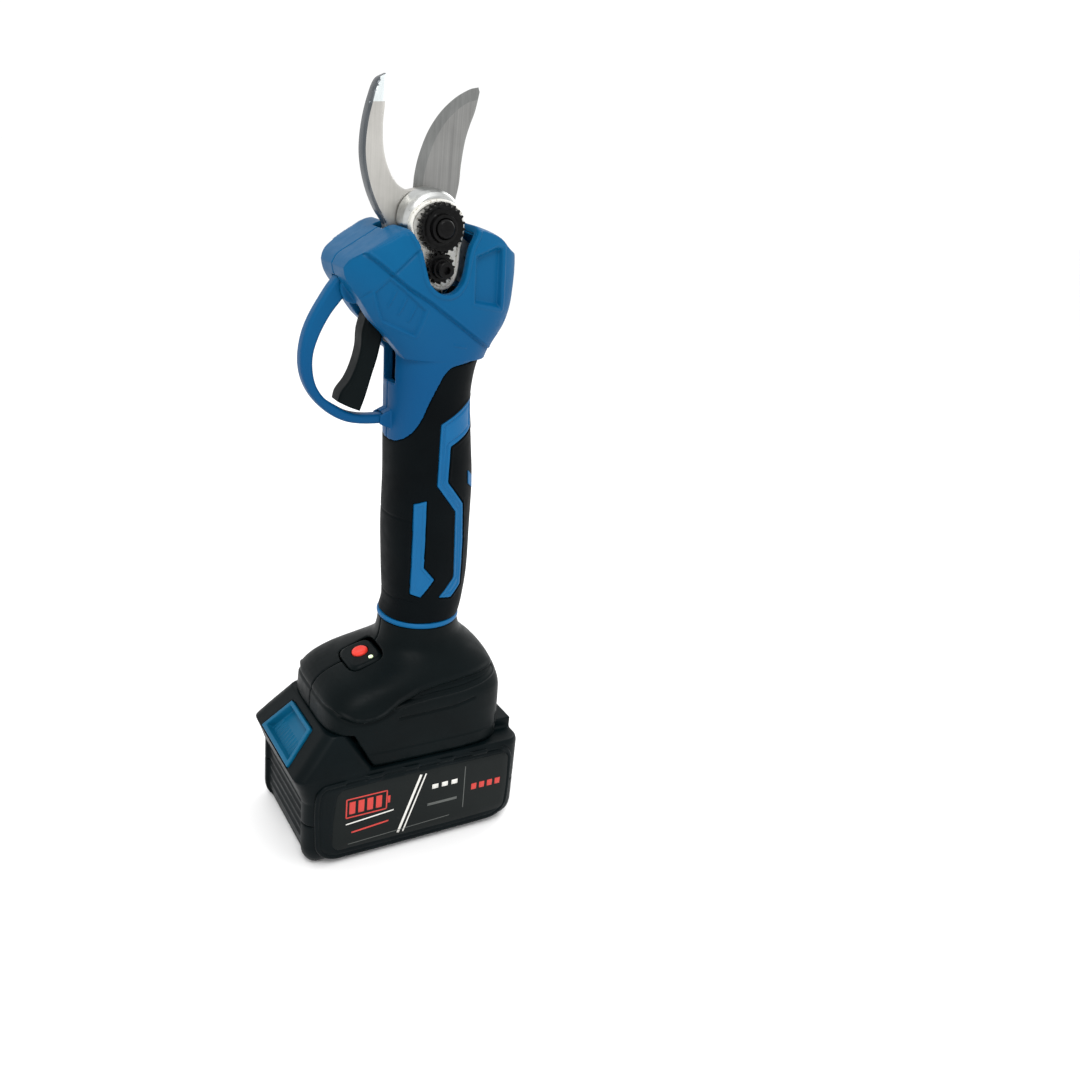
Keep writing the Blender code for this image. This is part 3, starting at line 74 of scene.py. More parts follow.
TEARDROP = [
    (-9.5, 318.2), (-17.5, 316.4), (-23.4, 310.6), (-24.6, 303), (-21.0, 295.4), (-18.6, 288.5), (-16.6, 282),
    (-12.9, 277.9), (-8.4, 276.3), (-4.0, 277.6), (-1.0, 281.8), (0.3, 288), (1.4, 295), (3.4, 302), (2.2, 310.4),
    (-2.4, 316),
]
HOOK = [
    (-31.0, 360.0), (-34.9, 357.4), (-37.6, 350.6), (-39.6, 341.7), (-40.4, 332.1), (-39.6, 324.2),
    (-37.0, 315.2), (-33.2, 307.4), (-28.6, 300.4), (-29.6, 293.0), (-27.6, 284.0), (-24.4, 277.6),
    (-18.8, 278.2), (-17.8, 283.6), (-18.6, 290.0), (-16.4, 290.6), (-12.4, 288.6), (-7.6, 288.8),
    (-1.6, 291.4), (2.4, 296.0), (4.0, 301.4), (3.4, 307.2), (0.6, 312.6), (-4.2, 316.4), (-9.8, 317.6),
    (-15.4, 316.8), (-19.6, 315.9), (-24.4, 318.2), (-28.4, 323.6), (-31.0, 331.0), (-31.9, 340.4),
    (-31.4, 349.2),
]
BLADE_EDGE = [
    (-14.8, 316.2), (-14.4, 322.4), (-12.9, 330.0), (-9.4, 339.5), (-4.4, 347.4), (2.1, 353.8),
    (8.9, 358.0), (12.9, 359.2),
]
BLADE_SPINE = [(13.6, 357.4), (12.0, 349.4), (10.0, 343.6), (8.3, 337.0), (7.2, 327.5), (6.8, 319.2), (5.2, 311.0)]
GUARD_OUTER = [
    (-44.6, 283.0), (-50.4, 277.4), (-56.1, 268.8), (-60.3, 261.1), (-62.9, 254.0), (-64.2, 245.6),
    (-63.6, 237.6), (-61.0, 230.6), (-56.4, 224.2), (-50.0, 218.8), (-42.6, 215.2), (-34.8, 213.8), (-24.4, 213.6),
    (-19.4, 213.6),
]
GUARD_INNER = [
    (-19.4, 218.2), (-25.6, 218.2), (-34.0, 218.3), (-41.0, 219.6), (-47.4, 222.8), (-52.6, 226.4),
    (-56.4, 231.8), (-58.2, 238.4), (-58.2, 246.0), (-55.6, 254.4), (-51.2, 262.8), (-46.4, 269.2), (-41.0, 276.2),
]
TRIGGER = [
    (-34.4, 267.2), (-36.0, 262.0), (-37.4, 256.0), (-37.7, 248.6), (-39.6, 240.8), (-42.4, 234.4),
    (-46.3, 229.0), (-47.3, 225.0), (-41.8, 222.3), (-36.8, 220.4), (-34.5, 227.1), (-31.9, 236.6),
    (-29.6, 244.8), (-28.2, 252.0), (-27.2, 258.0), (-26.8, 264.0), (-28.6, 267.6), (-31.6, 268.6),
]
SLEEVE_TOP = [
    (-40.0, 205.6), (-21.2, 206.2), (-19.1, 208.0), (-16.2, 211.6), (-13.0, 217.8), (-9.7, 227.6),
    (-6.2, 236.2), (-3.9, 240.8), (-0.6, 243.6), (8.9, 245.6), (26.0, 249.6),
]
STRIPE = [
    (15.0, 227.6), (9.0, 225.0), (-4.0, 217.1), (-3.8, 187.4), (6.7, 173.8), (8.8, 139.5), (1.3, 129.5),
    (8.4, 128.5), (14.1, 134.2), (13.4, 157.6), (11.4, 177.3), (1.7, 189.2), (2.0, 206.3), (15.6, 213.4),
]
ARROW = [(-13.3, 178.2), (-7.8, 180.4), (-6.9, 146.1), (-1.5, 139.7), (-7.3, 129.9), (-11.9, 131.3)]
RAIL = [(-24.5, 40), (24.5, 40), (24.5, 54.8), (28.2, 54.8), (28.2, 62.2), (-28.2, 62.2), (-28.2, 54.8), (-24.5, 54.8)]
NOSE = [(37, -68.3, -30, 35.9, 7), (44, -70.6, -30.6, 35.9, 7), (50.0, -73.0, -34.2, 35.4, 6),
        (56, -67.5, -37.6, 33.6, 6), (68.2, -56.2, -44.2, 29.2, 6)]
FX, RX, HW, TOP, MID = -68.0, 47.9, 36.3, 49.2, 24.0


# ------------------------------------------------------------------ flat geometry
def resample(points, spacing=1.0, closed=True, corner=48.0, sharp=None):
    """A smooth line through the points. A turn of more than corner degrees stays a corner."""
    p = [np.array(q, float) for q in points]
    n = len(p)
    is_sharp = []
    for i in range(n):
        if not closed and i in (0, n - 1):
            is_sharp.append(True)
            continue
        a, b = p[i] - p[i - 1], p[(i + 1) % n] - p[i]
        turn = math.degrees(abs(math.atan2(a[0] * b[1] - a[1] * b[0], a @ b)))
        is_sharp.append(turn > corner if sharp is None else i in sharp)
    out = []
    for i in range(n if closed else n - 1):
        b, c = p[i], p[(i + 1) % n]
        a = b - (c - b) if is_sharp[i] else p[i - 1]
        d = c + (c - b) if is_sharp[(i + 1) % n] else p[(i + 2) % n]
        length = np.linalg.norm(c - b)
        steps = max(1, int(round(length / spacing)))
        # tangents scaled to this stretch, so that uneven spacing doesn't loop
        tb = (c - a) / max(np.linalg.norm(c - b) + np.linalg.norm(b - a), 1e-6) * length
        tc = (d - b) / max(np.linalg.norm(d - c) + np.linalg.norm(c - b), 1e-6) * length
        for k in range(steps):
            t = k / steps
            h00, h10 = 2 * t**3 - 3 * t**2 + 1, t**3 - 2 * t**2 + t
            h01, h11 = -2 * t**3 + 3 * t**2, t**3 - t**2
            out.append(tuple(h00 * b + h10 * tb + h01 * c + h11 * tc))
    if not closed:
        out.append(tuple(p[-1]))
    return out


def edge_distance(points, line, closed=True):
    """Distance from each point to a line of straight stretches."""
    pts = np.asarray(points, float)
    a = np.asarray(line, float)
    b = np.roll(a, -1, axis=0) if closed else a[1:]
    a = a if closed else a[:-1]
    best = np.full(len(pts), 1e9)
    for p, q in zip(a, b):
        d = q - p
        t = np.clip(((pts - p) @ d) / max(d @ d, 1e-12), 0, 1)
        best = np.minimum(best, np.hypot(*(pts - p - t[:, None] * d).T))
    return best


def within(points, loop):
    pts = np.asarray(points, float)
    inside = np.zeros(len(pts), bool)
    loop = np.asarray(loop, float)
    for p, q in zip(loop, np.roll(loop, -1, axis=0)):
        if p[1] == q[1]:
            continue
        crosses = (p[1] > pts[:, 1]) != (q[1] > pts[:, 1])
        x = p[0] + (pts[:, 1] - p[1]) * (q[0] - p[0]) / (q[1] - p[1])
        inside ^= crosses & (pts[:, 0] < x)
    return inside


def depth_in(points, loop):
    """Distance to the loop, positive inside it."""
    return edge_distance(points, loop) * np.where(within(points, loop), 1, -1)


def side_of(points, line):
    """Signed distance to an open line: positive to the left of its direction."""
    pts = np.asarray(points, float)
    a = np.asarray(line, float)
    best, sign = np.full(len(pts), 1e9), np.ones(len(pts))
    for p, q in zip(a[:-1], a[1:]):
        d = q - p
        t = np.clip(((pts - p) @ d) / (d @ d), 0, 1)
        off = pts - p - t[:, None] * d
        r = np.hypot(*off.T)
        cross = d[0] * (pts[:, 1] - p[1]) - d[1] * (pts[:, 0] - p[0])
        near = r < best - 1e-9
        best[near], sign[near] = r[near], np.sign(cross[near])
    return best * sign


def step(value, low, high):
    t = np.clip((value - low) / (high - low), 0, 1)
    return t * t * (3 - 2 * t)


def shrink(outline, distance):
    area = sum(a[0] * b[1] - b[0] * a[1] for a, b in zip(outline, outline[1:] + outline[:1]))
    sign = 1 if area > 0 else -1
    moved = []
    for i, (x, z) in enumerate(outline):
        before, here, after = Vector(outline[i - 1]), Vector((x, z)), Vector(outline[(i + 1) % len(outline)])
        one, two = (here - before).normalized(), (after - here).normalized()
        n1, n2 = Vector((-one.y, one.x)) * sign, Vector((-two.y, two.x)) * sign
        middle = (n1 + n2)
        if middle.length < 1e-6:
            middle = n1
        middle.normalize()
        reach = distance / max(middle.dot(n1), 0.5)
        moved.append((x + middle.x * reach, z + middle.y * reach))
    return moved


def circle(radius, centre=(0, 0), count=64, turn=0.0):
    return [(centre[0] + radius * math.cos(turn + 2 * math.pi * i / count),
             centre[1] + radius * math.sin(turn + 2 * math.pi * i / count)) for i in range(count)]


# ------------------------------------------------------------------ solids, in mm
def raw(name, verts, faces):
    mesh = bpy.data.meshes.new(name)
    mesh.from_pydata([tuple(map(float, v)) for v in verts], [], [tuple(map(int, f)) for f in faces])
    work = bmesh.new()
    work.from_mesh(mesh)
    bmesh.ops.remove_doubles(work, verts=work.verts, dist=1e-5)
    bmesh.ops.recalc_face_normals(work, faces=work.faces)
    work.to_mesh(mesh)
    work.free()
    obj = bpy.data.objects.new(name, mesh)
    bpy.context.scene.collection.objects.link(obj)
    return obj


def loft(name, rings):
    n = len(rings[0])
    verts = [p for ring in rings for p in ring]
    faces = []
    for r in range(len(rings) - 1):
        for i in range(n):
            j = (i + 1) % n
            faces.append((r * n + i, r * n + j, (r + 1) * n + j, (r + 1) * n + i))
    faces.append(tuple(range(n))[::-1])
    faces.append(tuple((len(rings) - 1) * n + i for i in range(n)))
    return raw(name, verts, faces)


def slab(name, outline, levels):
    return loft(name, [[(x, y, z) for x, z in shrink(outline, inset)] for y, inset in levels])


def prism(name, outline, y0, y1):
    return slab(name, outline, [(y0, 0), (y1, 0)])


def box(name, low, high):
    return loft(name, [[(low[0], low[1], z), (high[0], low[1], z), (high[0], high[1], z), (low[0], high[1], z)]
                       for z in (low[2], high[2])])


def rod(name, radius, start, end, sides=40, radius_end=None):
    start, end = Vector(start), Vector(end)
    along = (end - start).normalized()
    side = along.orthogonal().normalized()
    other = along.cross(side)
    rings = []
    for at, r in ((start, radius), (end, radius if radius_end is None else radius_end)):
        rings.append([at + r * (math.cos(2 * math.pi * i / sides) * side + math.sin(2 * math.pi * i / sides) * other)
                      for i in range(sides)])
    return loft(name, rings)


def apply_all(obj):
    bpy.context.view_layer.update()
    graph = bpy.context.evaluated_depsgraph_get()
    mesh = bpy.data.meshes.new_from_object(obj.evaluated_get(graph))
    obj.modifiers.clear()
    old = obj.data
    obj.data = mesh
    bpy.data.meshes.remove(old)
    return obj


def combine(base, *steps):
    """Booleans in turn: pairs of '+', '-' or '&' and a solid, which is used up."""
    for sign, other in steps:
        op = base.modifiers.new("op", "BOOLEAN")
        op.operation = {"+": "UNION", "-": "DIFFERENCE", "&": "INTERSECT"}[sign]
        op.object = other
        op.solver = "EXACT"
        apply_all(base)
        bpy.data.objects.remove(other, do_unlink=True)
    return base


def merged(base, *others):
    """One mesh of several overlapping solids, for remeshing."""
    work = bmesh.new()
    work.from_mesh(base.data)
    for other in others:
        work.from_mesh(other.data)
        bpy.data.objects.remove(other, do_unlink=True)
    work.to_mesh(base.data)
    work.free()
    return base


def moulded(obj, size, rounds=6, strength=0.5):
    """Remeshes a solid finely and relaxes it, so that every edge becomes a small moulded radius."""
    work = bmesh.new()
    work.from_mesh(obj.data)
    bmesh.ops.triangulate(work, faces=work.faces)
    work.to_mesh(obj.data)
    work.free()
    net = obj.modifiers.new("net", "REMESH")
    net.mode = "VOXEL"
    net.voxel_size = size
    net.adaptivity = 0.0
    relax = obj.modifiers.new("relax", "SMOOTH")
    relax.factor = strength
    relax.iterations = rounds
    return apply_all(obj)


def points_of(obj):
    co = np.empty(len(obj.data.vertices) * 3, np.float32)
    obj.data.vertices.foreach_get("co", co)
    no = np.empty(len(obj.data.vertices) * 3, np.float32)
    obj.data.vertices.foreach_get("normal", no)
    return co.reshape(-1, 3).astype(float), no.reshape(-1, 3).astype(float)


def put_points(obj, co):
    obj.data.vertices.foreach_set("co", np.ascontiguousarray(co, np.float32).ravel())
    obj.data.update()


def flat_piece(name, outline, y0, y1, holes=(), near=None, far=None, grid=1.0, edge=0.35, spacing=0.5, offsets=(), line=()):
    """A plate with a crisp outline and shaped faces.

    near and far give how far each face drops at a point, from its x, z and distance to the edge. edge is the
    radius that rounds both rims. line is a crease that the mesh follows.
    """
    loops = [resample(outline, spacing)] + [list(h) for h in holes]
    flat = [p for loop in loops for p in loop]
    spans, start = [], 0
    for loop in loops:
        spans.append((start, len(loop)))
        start += len(loop)
    edges = [(s + i, s + (i + 1) % n) for s, n in spans for i in range(n)]
    xs, zs = zip(*flat)
    extra = []
    for loop in loops:
        arr = np.array(loop)
        tangent = np.roll(arr, -1, axis=0) - np.roll(arr, 1, axis=0)
        tangent /= np.maximum(np.linalg.norm(tangent, axis=1), 1e-9)[:, None]
        normal = np.stack([-tangent[:, 1], tangent[:, 0]], axis=1)
        for d in [edge * k for k in (0.12, 0.4, 1.0)] + list(offsets):
            for sign in (1, -1):
                extra.append(arr + sign * d * normal)
    cells = [(x, z) for x in np.arange(min(xs), max(xs), grid) for z in np.arange(min(zs), max(zs), grid)]
    jitter = np.random.default_rng(5).uniform(-0.16, 0.16, (len(cells), 2)) * grid
    inner = np.array(cells) + jitter

    def clear(pts, room):
        keep = within(pts, loops[0])
        d = edge_distance(pts, loops[0])
        for loop in loops[1:]:
            keep &= ~within(pts, loop)
            d = np.minimum(d, edge_distance(pts, loop))
        return keep, d

    chosen = []
    for k, band in enumerate(extra):
        want = ([edge * q for q in (0.12, 0.4, 1.0)] + list(offsets))[(k // 2) % (3 + len(offsets))]
        keep, d = clear(band, 0)
        chosen.append(band[keep & (d > want * 0.93)])
    keep, d = clear(inner, 0)
    limit = max([edge] + list(offsets)) + grid * 0.35
    chosen.append(inner[keep & (d > limit)])
    if len(line):
        crease = np.array(resample(line, 0.5, closed=False))
        chosen = [c[edge_distance(c, crease, closed=False) > 0.3] for c in chosen]
        flat = flat + [tuple(p) for p in crease]
        edges = edges + [(start + i, start + i + 1) for i in range(len(crease) - 1)]
    pts = [Vector(p) for p in flat] + [Vector(p) for p in np.concatenate(chosen)]
    verts, _, tris, _, _, _ = delaunay_2d_cdt(pts, edges, [], 0, 1e-4)
    verts = np.array([tuple(v) for v in verts])
    tris = np.array([t for t in tris if len(t) == 3])
    centre = verts[tris].mean(axis=1)
    keep, _ = clear(centre, 0)
    tris = tris[keep]
    used = np.unique(tris)
    back = -np.ones(len(verts), int)
    back[used] = np.arange(len(used))
    verts, tris = verts[used], back[tris]
    d = edge_distance(verts, loops[0])
    for loop in loops[1:]:
        d = np.minimum(d, edge_distance(verts, loop))
    round_off = edge - np.sqrt(np.maximum(edge**2 - np.clip(edge - d, 0, edge) ** 2, 0))
    x, z = verts.T
    lo, hi = min(y0, y1), max(y0, y1)
    y_near = lo + round_off + (near(x, z, d) if near else 0)
    y_far = hi - round_off - (far(x, z, d) if far else 0)
    y_far = np.maximum(y_far, y_near + 0.02)
    n = len(verts)
    top = np.stack([x, y_near, z], axis=1)
    bottom = np.stack([x, y_far, z], axis=1)
    a, b, c = verts[tris[:, 0]], verts[tris[:, 1]], verts[tris[:, 2]]
    turn = (b[:, 0] - a[:, 0]) * (c[:, 1] - a[:, 1]) - (b[:, 1] - a[:, 1]) * (c[:, 0] - a[:, 0])
    tris = np.where((turn > 0)[:, None], tris, tris[:, ::-1])
    ends = np.concatenate([tris[:, [0, 1]], tris[:, [1, 2]], tris[:, [2, 0]]])
    seen = {tuple(e) for e in ends.tolist()}
    rim = [e for e in seen if (e[1], e[0]) not in seen]
    faces = [tuple(t) for t in tris] + [(t[2] + n, t[1] + n, t[0] + n) for t in tris]
    faces += [(e[1], e[0], e[0] + n, e[1] + n) for e in rim]
    return raw(name, np.concatenate([top, bottom]), faces)


def turned(name, profile, axis="Z", at=(0, 0, 0), steps=72, bevel=0.25):
    """A turned solid: profile is radius and height pairs from the axis out and back, its corners eased."""
    eased = [profile[0]]
    for a, b, c in zip(profile, profile[1:], profile[2:]):
        a, b, c = map(np.array, (a, b, c))
        la, lc = np.linalg.norm(a - b), np.linalg.norm(c - b)
        if b[0] < 1e-6 or min(la, lc) < 1e-6:
            eased.append(tuple(b))
            continue
        r = min(bevel, la * 0.4, lc * 0.4)
        p, q = b + (a - b) / la * r, b + (c - b) / lc * r
        for t in (0, 0.33, 0.67, 1):
            eased.append(tuple((1 - t) ** 2 * p + 2 * t * (1 - t) * b + t * t * q))
    eased.append(profile[-1])
    rings = []
    for r, h in eased:
        r = max(r, 1e-3)
        ring = []
        for i in range(steps):
            t = 2 * math.pi * i / steps
            if axis == "Y":
                ring.append((at[0] + r * math.cos(t), at[1] + h, at[2] + r * math.sin(t)))
            else:
                ring.append((at[0] + r * math.cos(t), at[1] + r * math.sin(t), at[2] + h))
        rings.append(ring)
    return loft(name, rings)


# ------------------------------------------------------------------ procedural materials
def node_material(name):
    made = bpy.data.materials.new(name)
    made.use_nodes = True
    return made, made.node_tree.nodes, made.node_tree.links, made.node_tree.nodes["Principled BSDF"]


def noise(nodes, links, source, scale, detail=3.0, rough=0.55, stretch=None):
    tex = nodes.new("ShaderNodeTexNoise")
    tex.inputs["Scale"].default_value = scale
    tex.inputs["Detail"].default_value = detail
    tex.inputs["Roughness"].default_value = rough
    if stretch:
        mapping = nodes.new("ShaderNodeMapping")
        mapping.inputs["Scale"].default_value = stretch
        links.new(source, mapping.inputs["Vector"])
        links.new(mapping.outputs["Vector"], tex.inputs["Vector"])
    else:
        links.new(source, tex.inputs["Vector"])
    return tex


def ramp(nodes, links, value, stops):
    made = nodes.new("ShaderNodeValToRGB")
    made.color_ramp.elements[0].position, made.color_ramp.elements[0].color = stops[0][0], (*stops[0][1], 1)
    made.color_ramp.elements[1].position, made.color_ramp.elements[1].color = stops[-1][0], (*stops[-1][1], 1)
    for position, colour in stops[1:-1]:
        made.color_ramp.elements.new(position).color = (*colour, 1)
    links.new(value, made.inputs["Fac"])
    return made


def span(nodes, links, value, low, high, to_low, to_high):
    made = nodes.new("ShaderNodeMapRange")
    for key, number in (("From Min", low), ("From Max", high), ("To Min", to_low), ("To Max", to_high)):
        made.inputs[key].default_value = number
    links.new(value, made.inputs["Value"])
    return made


def plastic(name, low, high, rough=(0.38, 0.5), grain=2600.0, bump=0.12, depth=0.00006, spec=0.5, height=None,
            metal=0.0, coat=0.0):
    """Moulded plastic or rubber: mottled colour, a fine spark-eroded grain, scuffs in the gloss."""
    made, nodes, links, shader = node_material(name)
    place = nodes.new("ShaderNodeTexCoord").outputs["Object"]
    broad = noise(nodes, links, place, 38.0, 4.0)
    colour = ramp(nodes, links, broad.outputs["Fac"], [(0.3, low), (0.7, high)])
    out = colour.outputs["Color"]
    # painted shade: when height is given, the colour blends to a darker blue below z0 to z1, so the lower part of a
    # piece is painted darker
    if height:
        z0, z1, shade_tint = height
        parts = nodes.new("ShaderNodeSeparateXYZ")
        links.new(place, parts.inputs[0])
        rise = span(nodes, links, parts.outputs["Z"], z0, z1, 0.0, 1.0)
        mix = nodes.new("ShaderNodeMix")
        mix.data_type = "RGBA"
        mix.inputs[6].default_value = (*shade_tint, 1)
        links.new(rise.outputs[0], mix.inputs[0])
        links.new(out, mix.inputs[7])
        out = mix.outputs[2]
    links.new(out, shader.inputs["Base Color"])
    worn = noise(nodes, links, place, 210.0, 5.0, 0.6)
    gloss = span(nodes, links, worn.outputs["Fac"], 0.3, 0.72, *rough)
    links.new(gloss.outputs[0], shader.inputs["Roughness"])
    shader.inputs["Specular IOR Level"].default_value = spec
    shader.inputs["Metallic"].default_value = metal
    if coat:
        shader.inputs["Coat Weight"].default_value = coat
        shader.inputs["Coat Roughness"].default_value = 0.25
    fine = noise(nodes, links, place, grain, 2.0)
    raised = nodes.new("ShaderNodeBump")
    raised.inputs["Strength"].default_value = bump
    raised.inputs["Distance"].default_value = depth
    links.new(fine.outputs["Fac"], raised.inputs["Height"])
    links.new(raised.outputs[0], shader.inputs["Normal"])
    return made


def metal(name, low, high, rough=(0.22, 0.36), stretch=(1200.0, 1200.0, 30.0), scale=1.0, bump=0.2, depth=0.00003,
          spots=None, metallic=1.0):
    """Ground or cast metal: streaks along one direction in colour, gloss and height."""
    made, nodes, links, shader = node_material(name)
    place = nodes.new("ShaderNodeTexCoord").outputs["Object"]
    streak = noise(nodes, links, place, scale, 4.0, 0.6, stretch)
    broad = noise(nodes, links, place, 55.0, 3.0)
    colour = ramp(nodes, links, streak.outputs["Fac"], [(0.28, low), (0.72, high)])
    mix = nodes.new("ShaderNodeMix")
    mix.data_type = "RGBA"
    mix.blend_type = "MULTIPLY"
    mix.inputs[0].default_value = 1.0
    shade = ramp(nodes, links, broad.outputs["Fac"], [(0.25, (0.8, 0.8, 0.8)), (0.75, (1.0, 1.0, 1.0))])
    links.new(colour.outputs["Color"], mix.inputs[6])
    links.new(shade.outputs["Color"], mix.inputs[7])
    out = mix.outputs[2]
    if spots:
        speck = noise(nodes, links, place, spots[0], 2.0)
        dark = ramp(nodes, links, speck.outputs["Fac"], [(spots[1], spots[2]), (spots[1] + 0.1, (1, 1, 1))])
        again = nodes.new("ShaderNodeMix")
        again.data_type = "RGBA"
        again.blend_type = "MULTIPLY"
        again.inputs[0].default_value = 1.0
        links.new(out, again.inputs[6])
        links.new(dark.outputs["Color"], again.inputs[7])
        out = again.outputs[2]
    links.new(out, shader.inputs["Base Color"])
    gloss = span(nodes, links, streak.outputs["Fac"], 0.25, 0.75, *rough)
    links.new(gloss.outputs[0], shader.inputs["Roughness"])
    shader.inputs["Metallic"].default_value = metallic
    raised = nodes.new("ShaderNodeBump")
    raised.inputs["Strength"].default_value = bump
    raised.inputs["Distance"].default_value = depth
    links.new(streak.outputs["Fac"], raised.inputs["Height"])
    links.new(raised.outputs[0], shader.inputs["Normal"])
    return made


# the blue shell and guard are painted darker below about 235 to 295 mm, a painted shade on their lower part
BLUE = plastic("blue_abs", (0.0004, 0.078, 0.19), (0.0008, 0.087, 0.208), (0.36, 0.48), 3000, 0.08, spec=0.09,
               height=(0.235, 0.295, (0.001, 0.060, 0.168)))
BLUE_INLAY = plastic("blue_inlay", (0.002, 0.092, 0.235), (0.003, 0.104, 0.262), (0.38, 0.5), 3000, 0.08, spec=0.14)
BLUE_KEY = plastic("blue_key", (0.0016, 0.085, 0.17), (0.003, 0.105, 0.205), (0.34, 0.46), 3000, 0.08, spec=0.14)
RUBBER = plastic("black_overmould", (0.0007, 0.0016, 0.0022), (0.0013, 0.0028, 0.0036), (0.50, 0.62), 2400, 0.2, spec=0.045)
BLACK = plastic("black_nylon", (0.0006, 0.0022, 0.0026), (0.0013, 0.0038, 0.0044), (0.38, 0.50), 2200, 0.18, spec=0.07)
BATTERY = plastic("battery_nylon", (0.0008, 0.0026, 0.0032), (0.0017, 0.0046, 0.0056), (0.36, 0.48), 1800, 0.22, spec=0.075)
STEEL = metal("ground_steel", (0.50, 0.49, 0.46), (0.58, 0.565, 0.535), (0.34, 0.44))
# painted highlight: a pale, near-white steel for the hook's tilted tip facet
LIT_TIP_STEEL = metal("painted_highlight_tip_steel", (0.80, 0.86, 0.87), (0.88, 0.94, 0.95), (0.30, 0.40))
# painted shade: a dark steel for the hook's outer side faces and the strip along its outer edge
SHADED_EDGE_STEEL = metal("painted_shade_edge_steel", (0.085, 0.095, 0.105), (0.15, 0.16, 0.17), (0.30, 0.42))
CAST_SIDE = metal("machined_aluminium", (0.46, 0.47, 0.46), (0.60, 0.61, 0.60), (0.26, 0.38), (420, 420, 420))
POLISHED = metal("polished_steel", (0.74, 0.75, 0.76), (0.86, 0.87, 0.87), (0.12, 0.22), (700, 700, 700))
CAST = metal("cast_aluminium", (0.74, 0.73, 0.68), (0.86, 0.85, 0.80), (0.36, 0.5), (420, 420, 420), bump=0.5,
             depth=0.00012, spots=(900.0, 0.33, (0.55, 0.53, 0.48)), metallic=0.45)
OXIDE = metal("black_oxide_steel", (0.0018, 0.0018, 0.0019), (0.005, 0.005, 0.0052), (0.26, 0.40), (900, 900, 900),
              metallic=0.15)
OXIDE.node_tree.nodes["Principled BSDF"].inputs["Specular IOR Level"].default_value = 0.12
BRONZE = metal("sintered_bronze", (0.42, 0.27, 0.11), (0.55, 0.38, 0.17), (0.35, 0.5), (900, 900, 900))
COPPER = metal("copper_winding", (0.45, 0.18, 0.07), (0.62, 0.28, 0.12), (0.3, 0.42), (300, 300, 2600))
RED = plastic("red_silicone", (0.68, 0.032, 0.02), (0.80, 0.05, 0.032), (0.34, 0.46), 2600, 0.08, spec=0.25)
BOARD = plastic("circuit_board", (0.012, 0.10, 0.045), (0.02, 0.15, 0.065), (0.3, 0.42), 900, 0.2)
CELL = plastic("cell_sleeve", (0.03, 0.20, 0.17), (0.045, 0.27, 0.22), (0.28, 0.38), 1500, 0.06)
CABLE = plastic("cable_jacket", (0.01, 0.01, 0.011), (0.02, 0.02, 0.021), (0.45, 0.6), 2600, 0.12)
LABEL = plastic("label_film", (0.0028, 0.0048, 0.0048), (0.0042, 0.0066, 0.0064), (0.30, 0.40), 3200, 0.05, spec=0.12)
PRINT_WHITE = plastic("print_white", (0.62, 0.61, 0.57), (0.74, 0.73, 0.69), (0.42, 0.52), 3000, 0.05)
PRINT_RED = plastic("print_red", (0.42, 0.018, 0.012), (0.55, 0.03, 0.02), (0.42, 0.52), 3000, 0.05)
PRINT_GREY = plastic("print_grey", (0.05, 0.056, 0.052), (0.075, 0.082, 0.076), (0.42, 0.52), 3000, 0.05)


def lens_material():
    made, nodes, links, shader = node_material("led_lens")
    place = nodes.new("ShaderNodeTexCoord").outputs["Object"]
    cloud = noise(nodes, links, place, 900.0)
    colour = ramp(nodes, links, cloud.outputs["Fac"], [(0.3, (0.72, 0.86, 0.5)), (0.7, (0.9, 1.0, 0.72))])
    links.new(colour.outputs["Color"], shader.inputs["Base Color"])
    shader.inputs["Roughness"].default_value = 0.18
    shader.inputs["Emission Color"].default_value = (0.75, 1.0, 0.55, 1)
    shader.inputs["Emission Strength"].default_value = 0.35
    return made


LENS = lens_material()
SLOTS = {
    "blue_abs": BLUE, "black_overmould": RUBBER, "black_nylon": BLACK, "ground_steel": STEEL, "polished_steel": POLISHED,
    "cast_aluminium": CAST, "black_oxide_steel": OXIDE, "sintered_bronze": BRONZE, "copper_winding": COPPER,
    "red_silicone": RED, "led_lens": LENS, "circuit_board": BOARD, "cell_sleeve": CELL, "label_film": LABEL,
    "cable_jacket": CABLE,
}
SLOT_OF = {entry["node"]: entry["material_slot"] for entry in frame["record"]["subparts"]}
for node_name, node_obj in frame["nodes"].items():
    node_obj.data.materials.clear()
    node_obj.data.materials.append(SLOTS[SLOT_OF[node_name]])


def finish(obj, body, material, replaces=(), angle=35.0, smooth=True):
    """Turns a piece in mm into metres, gives it its material and sets it on its body."""
    obj.data.transform(Matrix.Scale(0.001, 4))
    obj.data.materials.clear()
    obj.data.materials.append(material)
    if smooth:
        obj.data.shade_smooth()
        if angle:
            obj.data.set_sharp_from_angle(angle=math.radians(angle))
    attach(obj, body)
    if replaces:
        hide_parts(*replaces)
    return obj


# ------------------------------------------------------------------ handle surface
def paint(obj, material, pick):
    """Gives another material to the faces of a finished piece that pick chooses, from their middles in mm and normals."""
    obj.data.materials.append(material)
    index = len(obj.data.materials) - 1
    for face in obj.data.polygons:
        if pick(face.center * 1000, face.normal):
            face.material_index = index


def handle_row(z):
    """Centre x, half depth and half width of the handle at a height, smoothly between the stations."""
    table = np.array(HANDLE)
    z = min(max(z, table[0, 0]), table[-1, 0])
    i = int(np.clip(np.searchsorted(table[:, 0], z) - 1, 0, len(table) - 2))
    a, b = table[i], table[i + 1]
    before, after = table[max(i - 1, 0)], table[min(i + 2, len(table) - 1)]
    h = b[0] - a[0]
    t = (z - a[0]) / h
    ta = (b[1:] - before[1:]) / max(b[0] - before[0], 1e-6) * h
    tb = (after[1:] - a[1:]) / max(after[0] - a[0], 1e-6) * h
    return ((2 * t**3 - 3 * t**2 + 1) * a[1:] + (t**3 - 2 * t**2 + t) * ta + (3 * t**2 - 2 * t**3) * b[1:]
            + (t**3 - t**2) * tb)


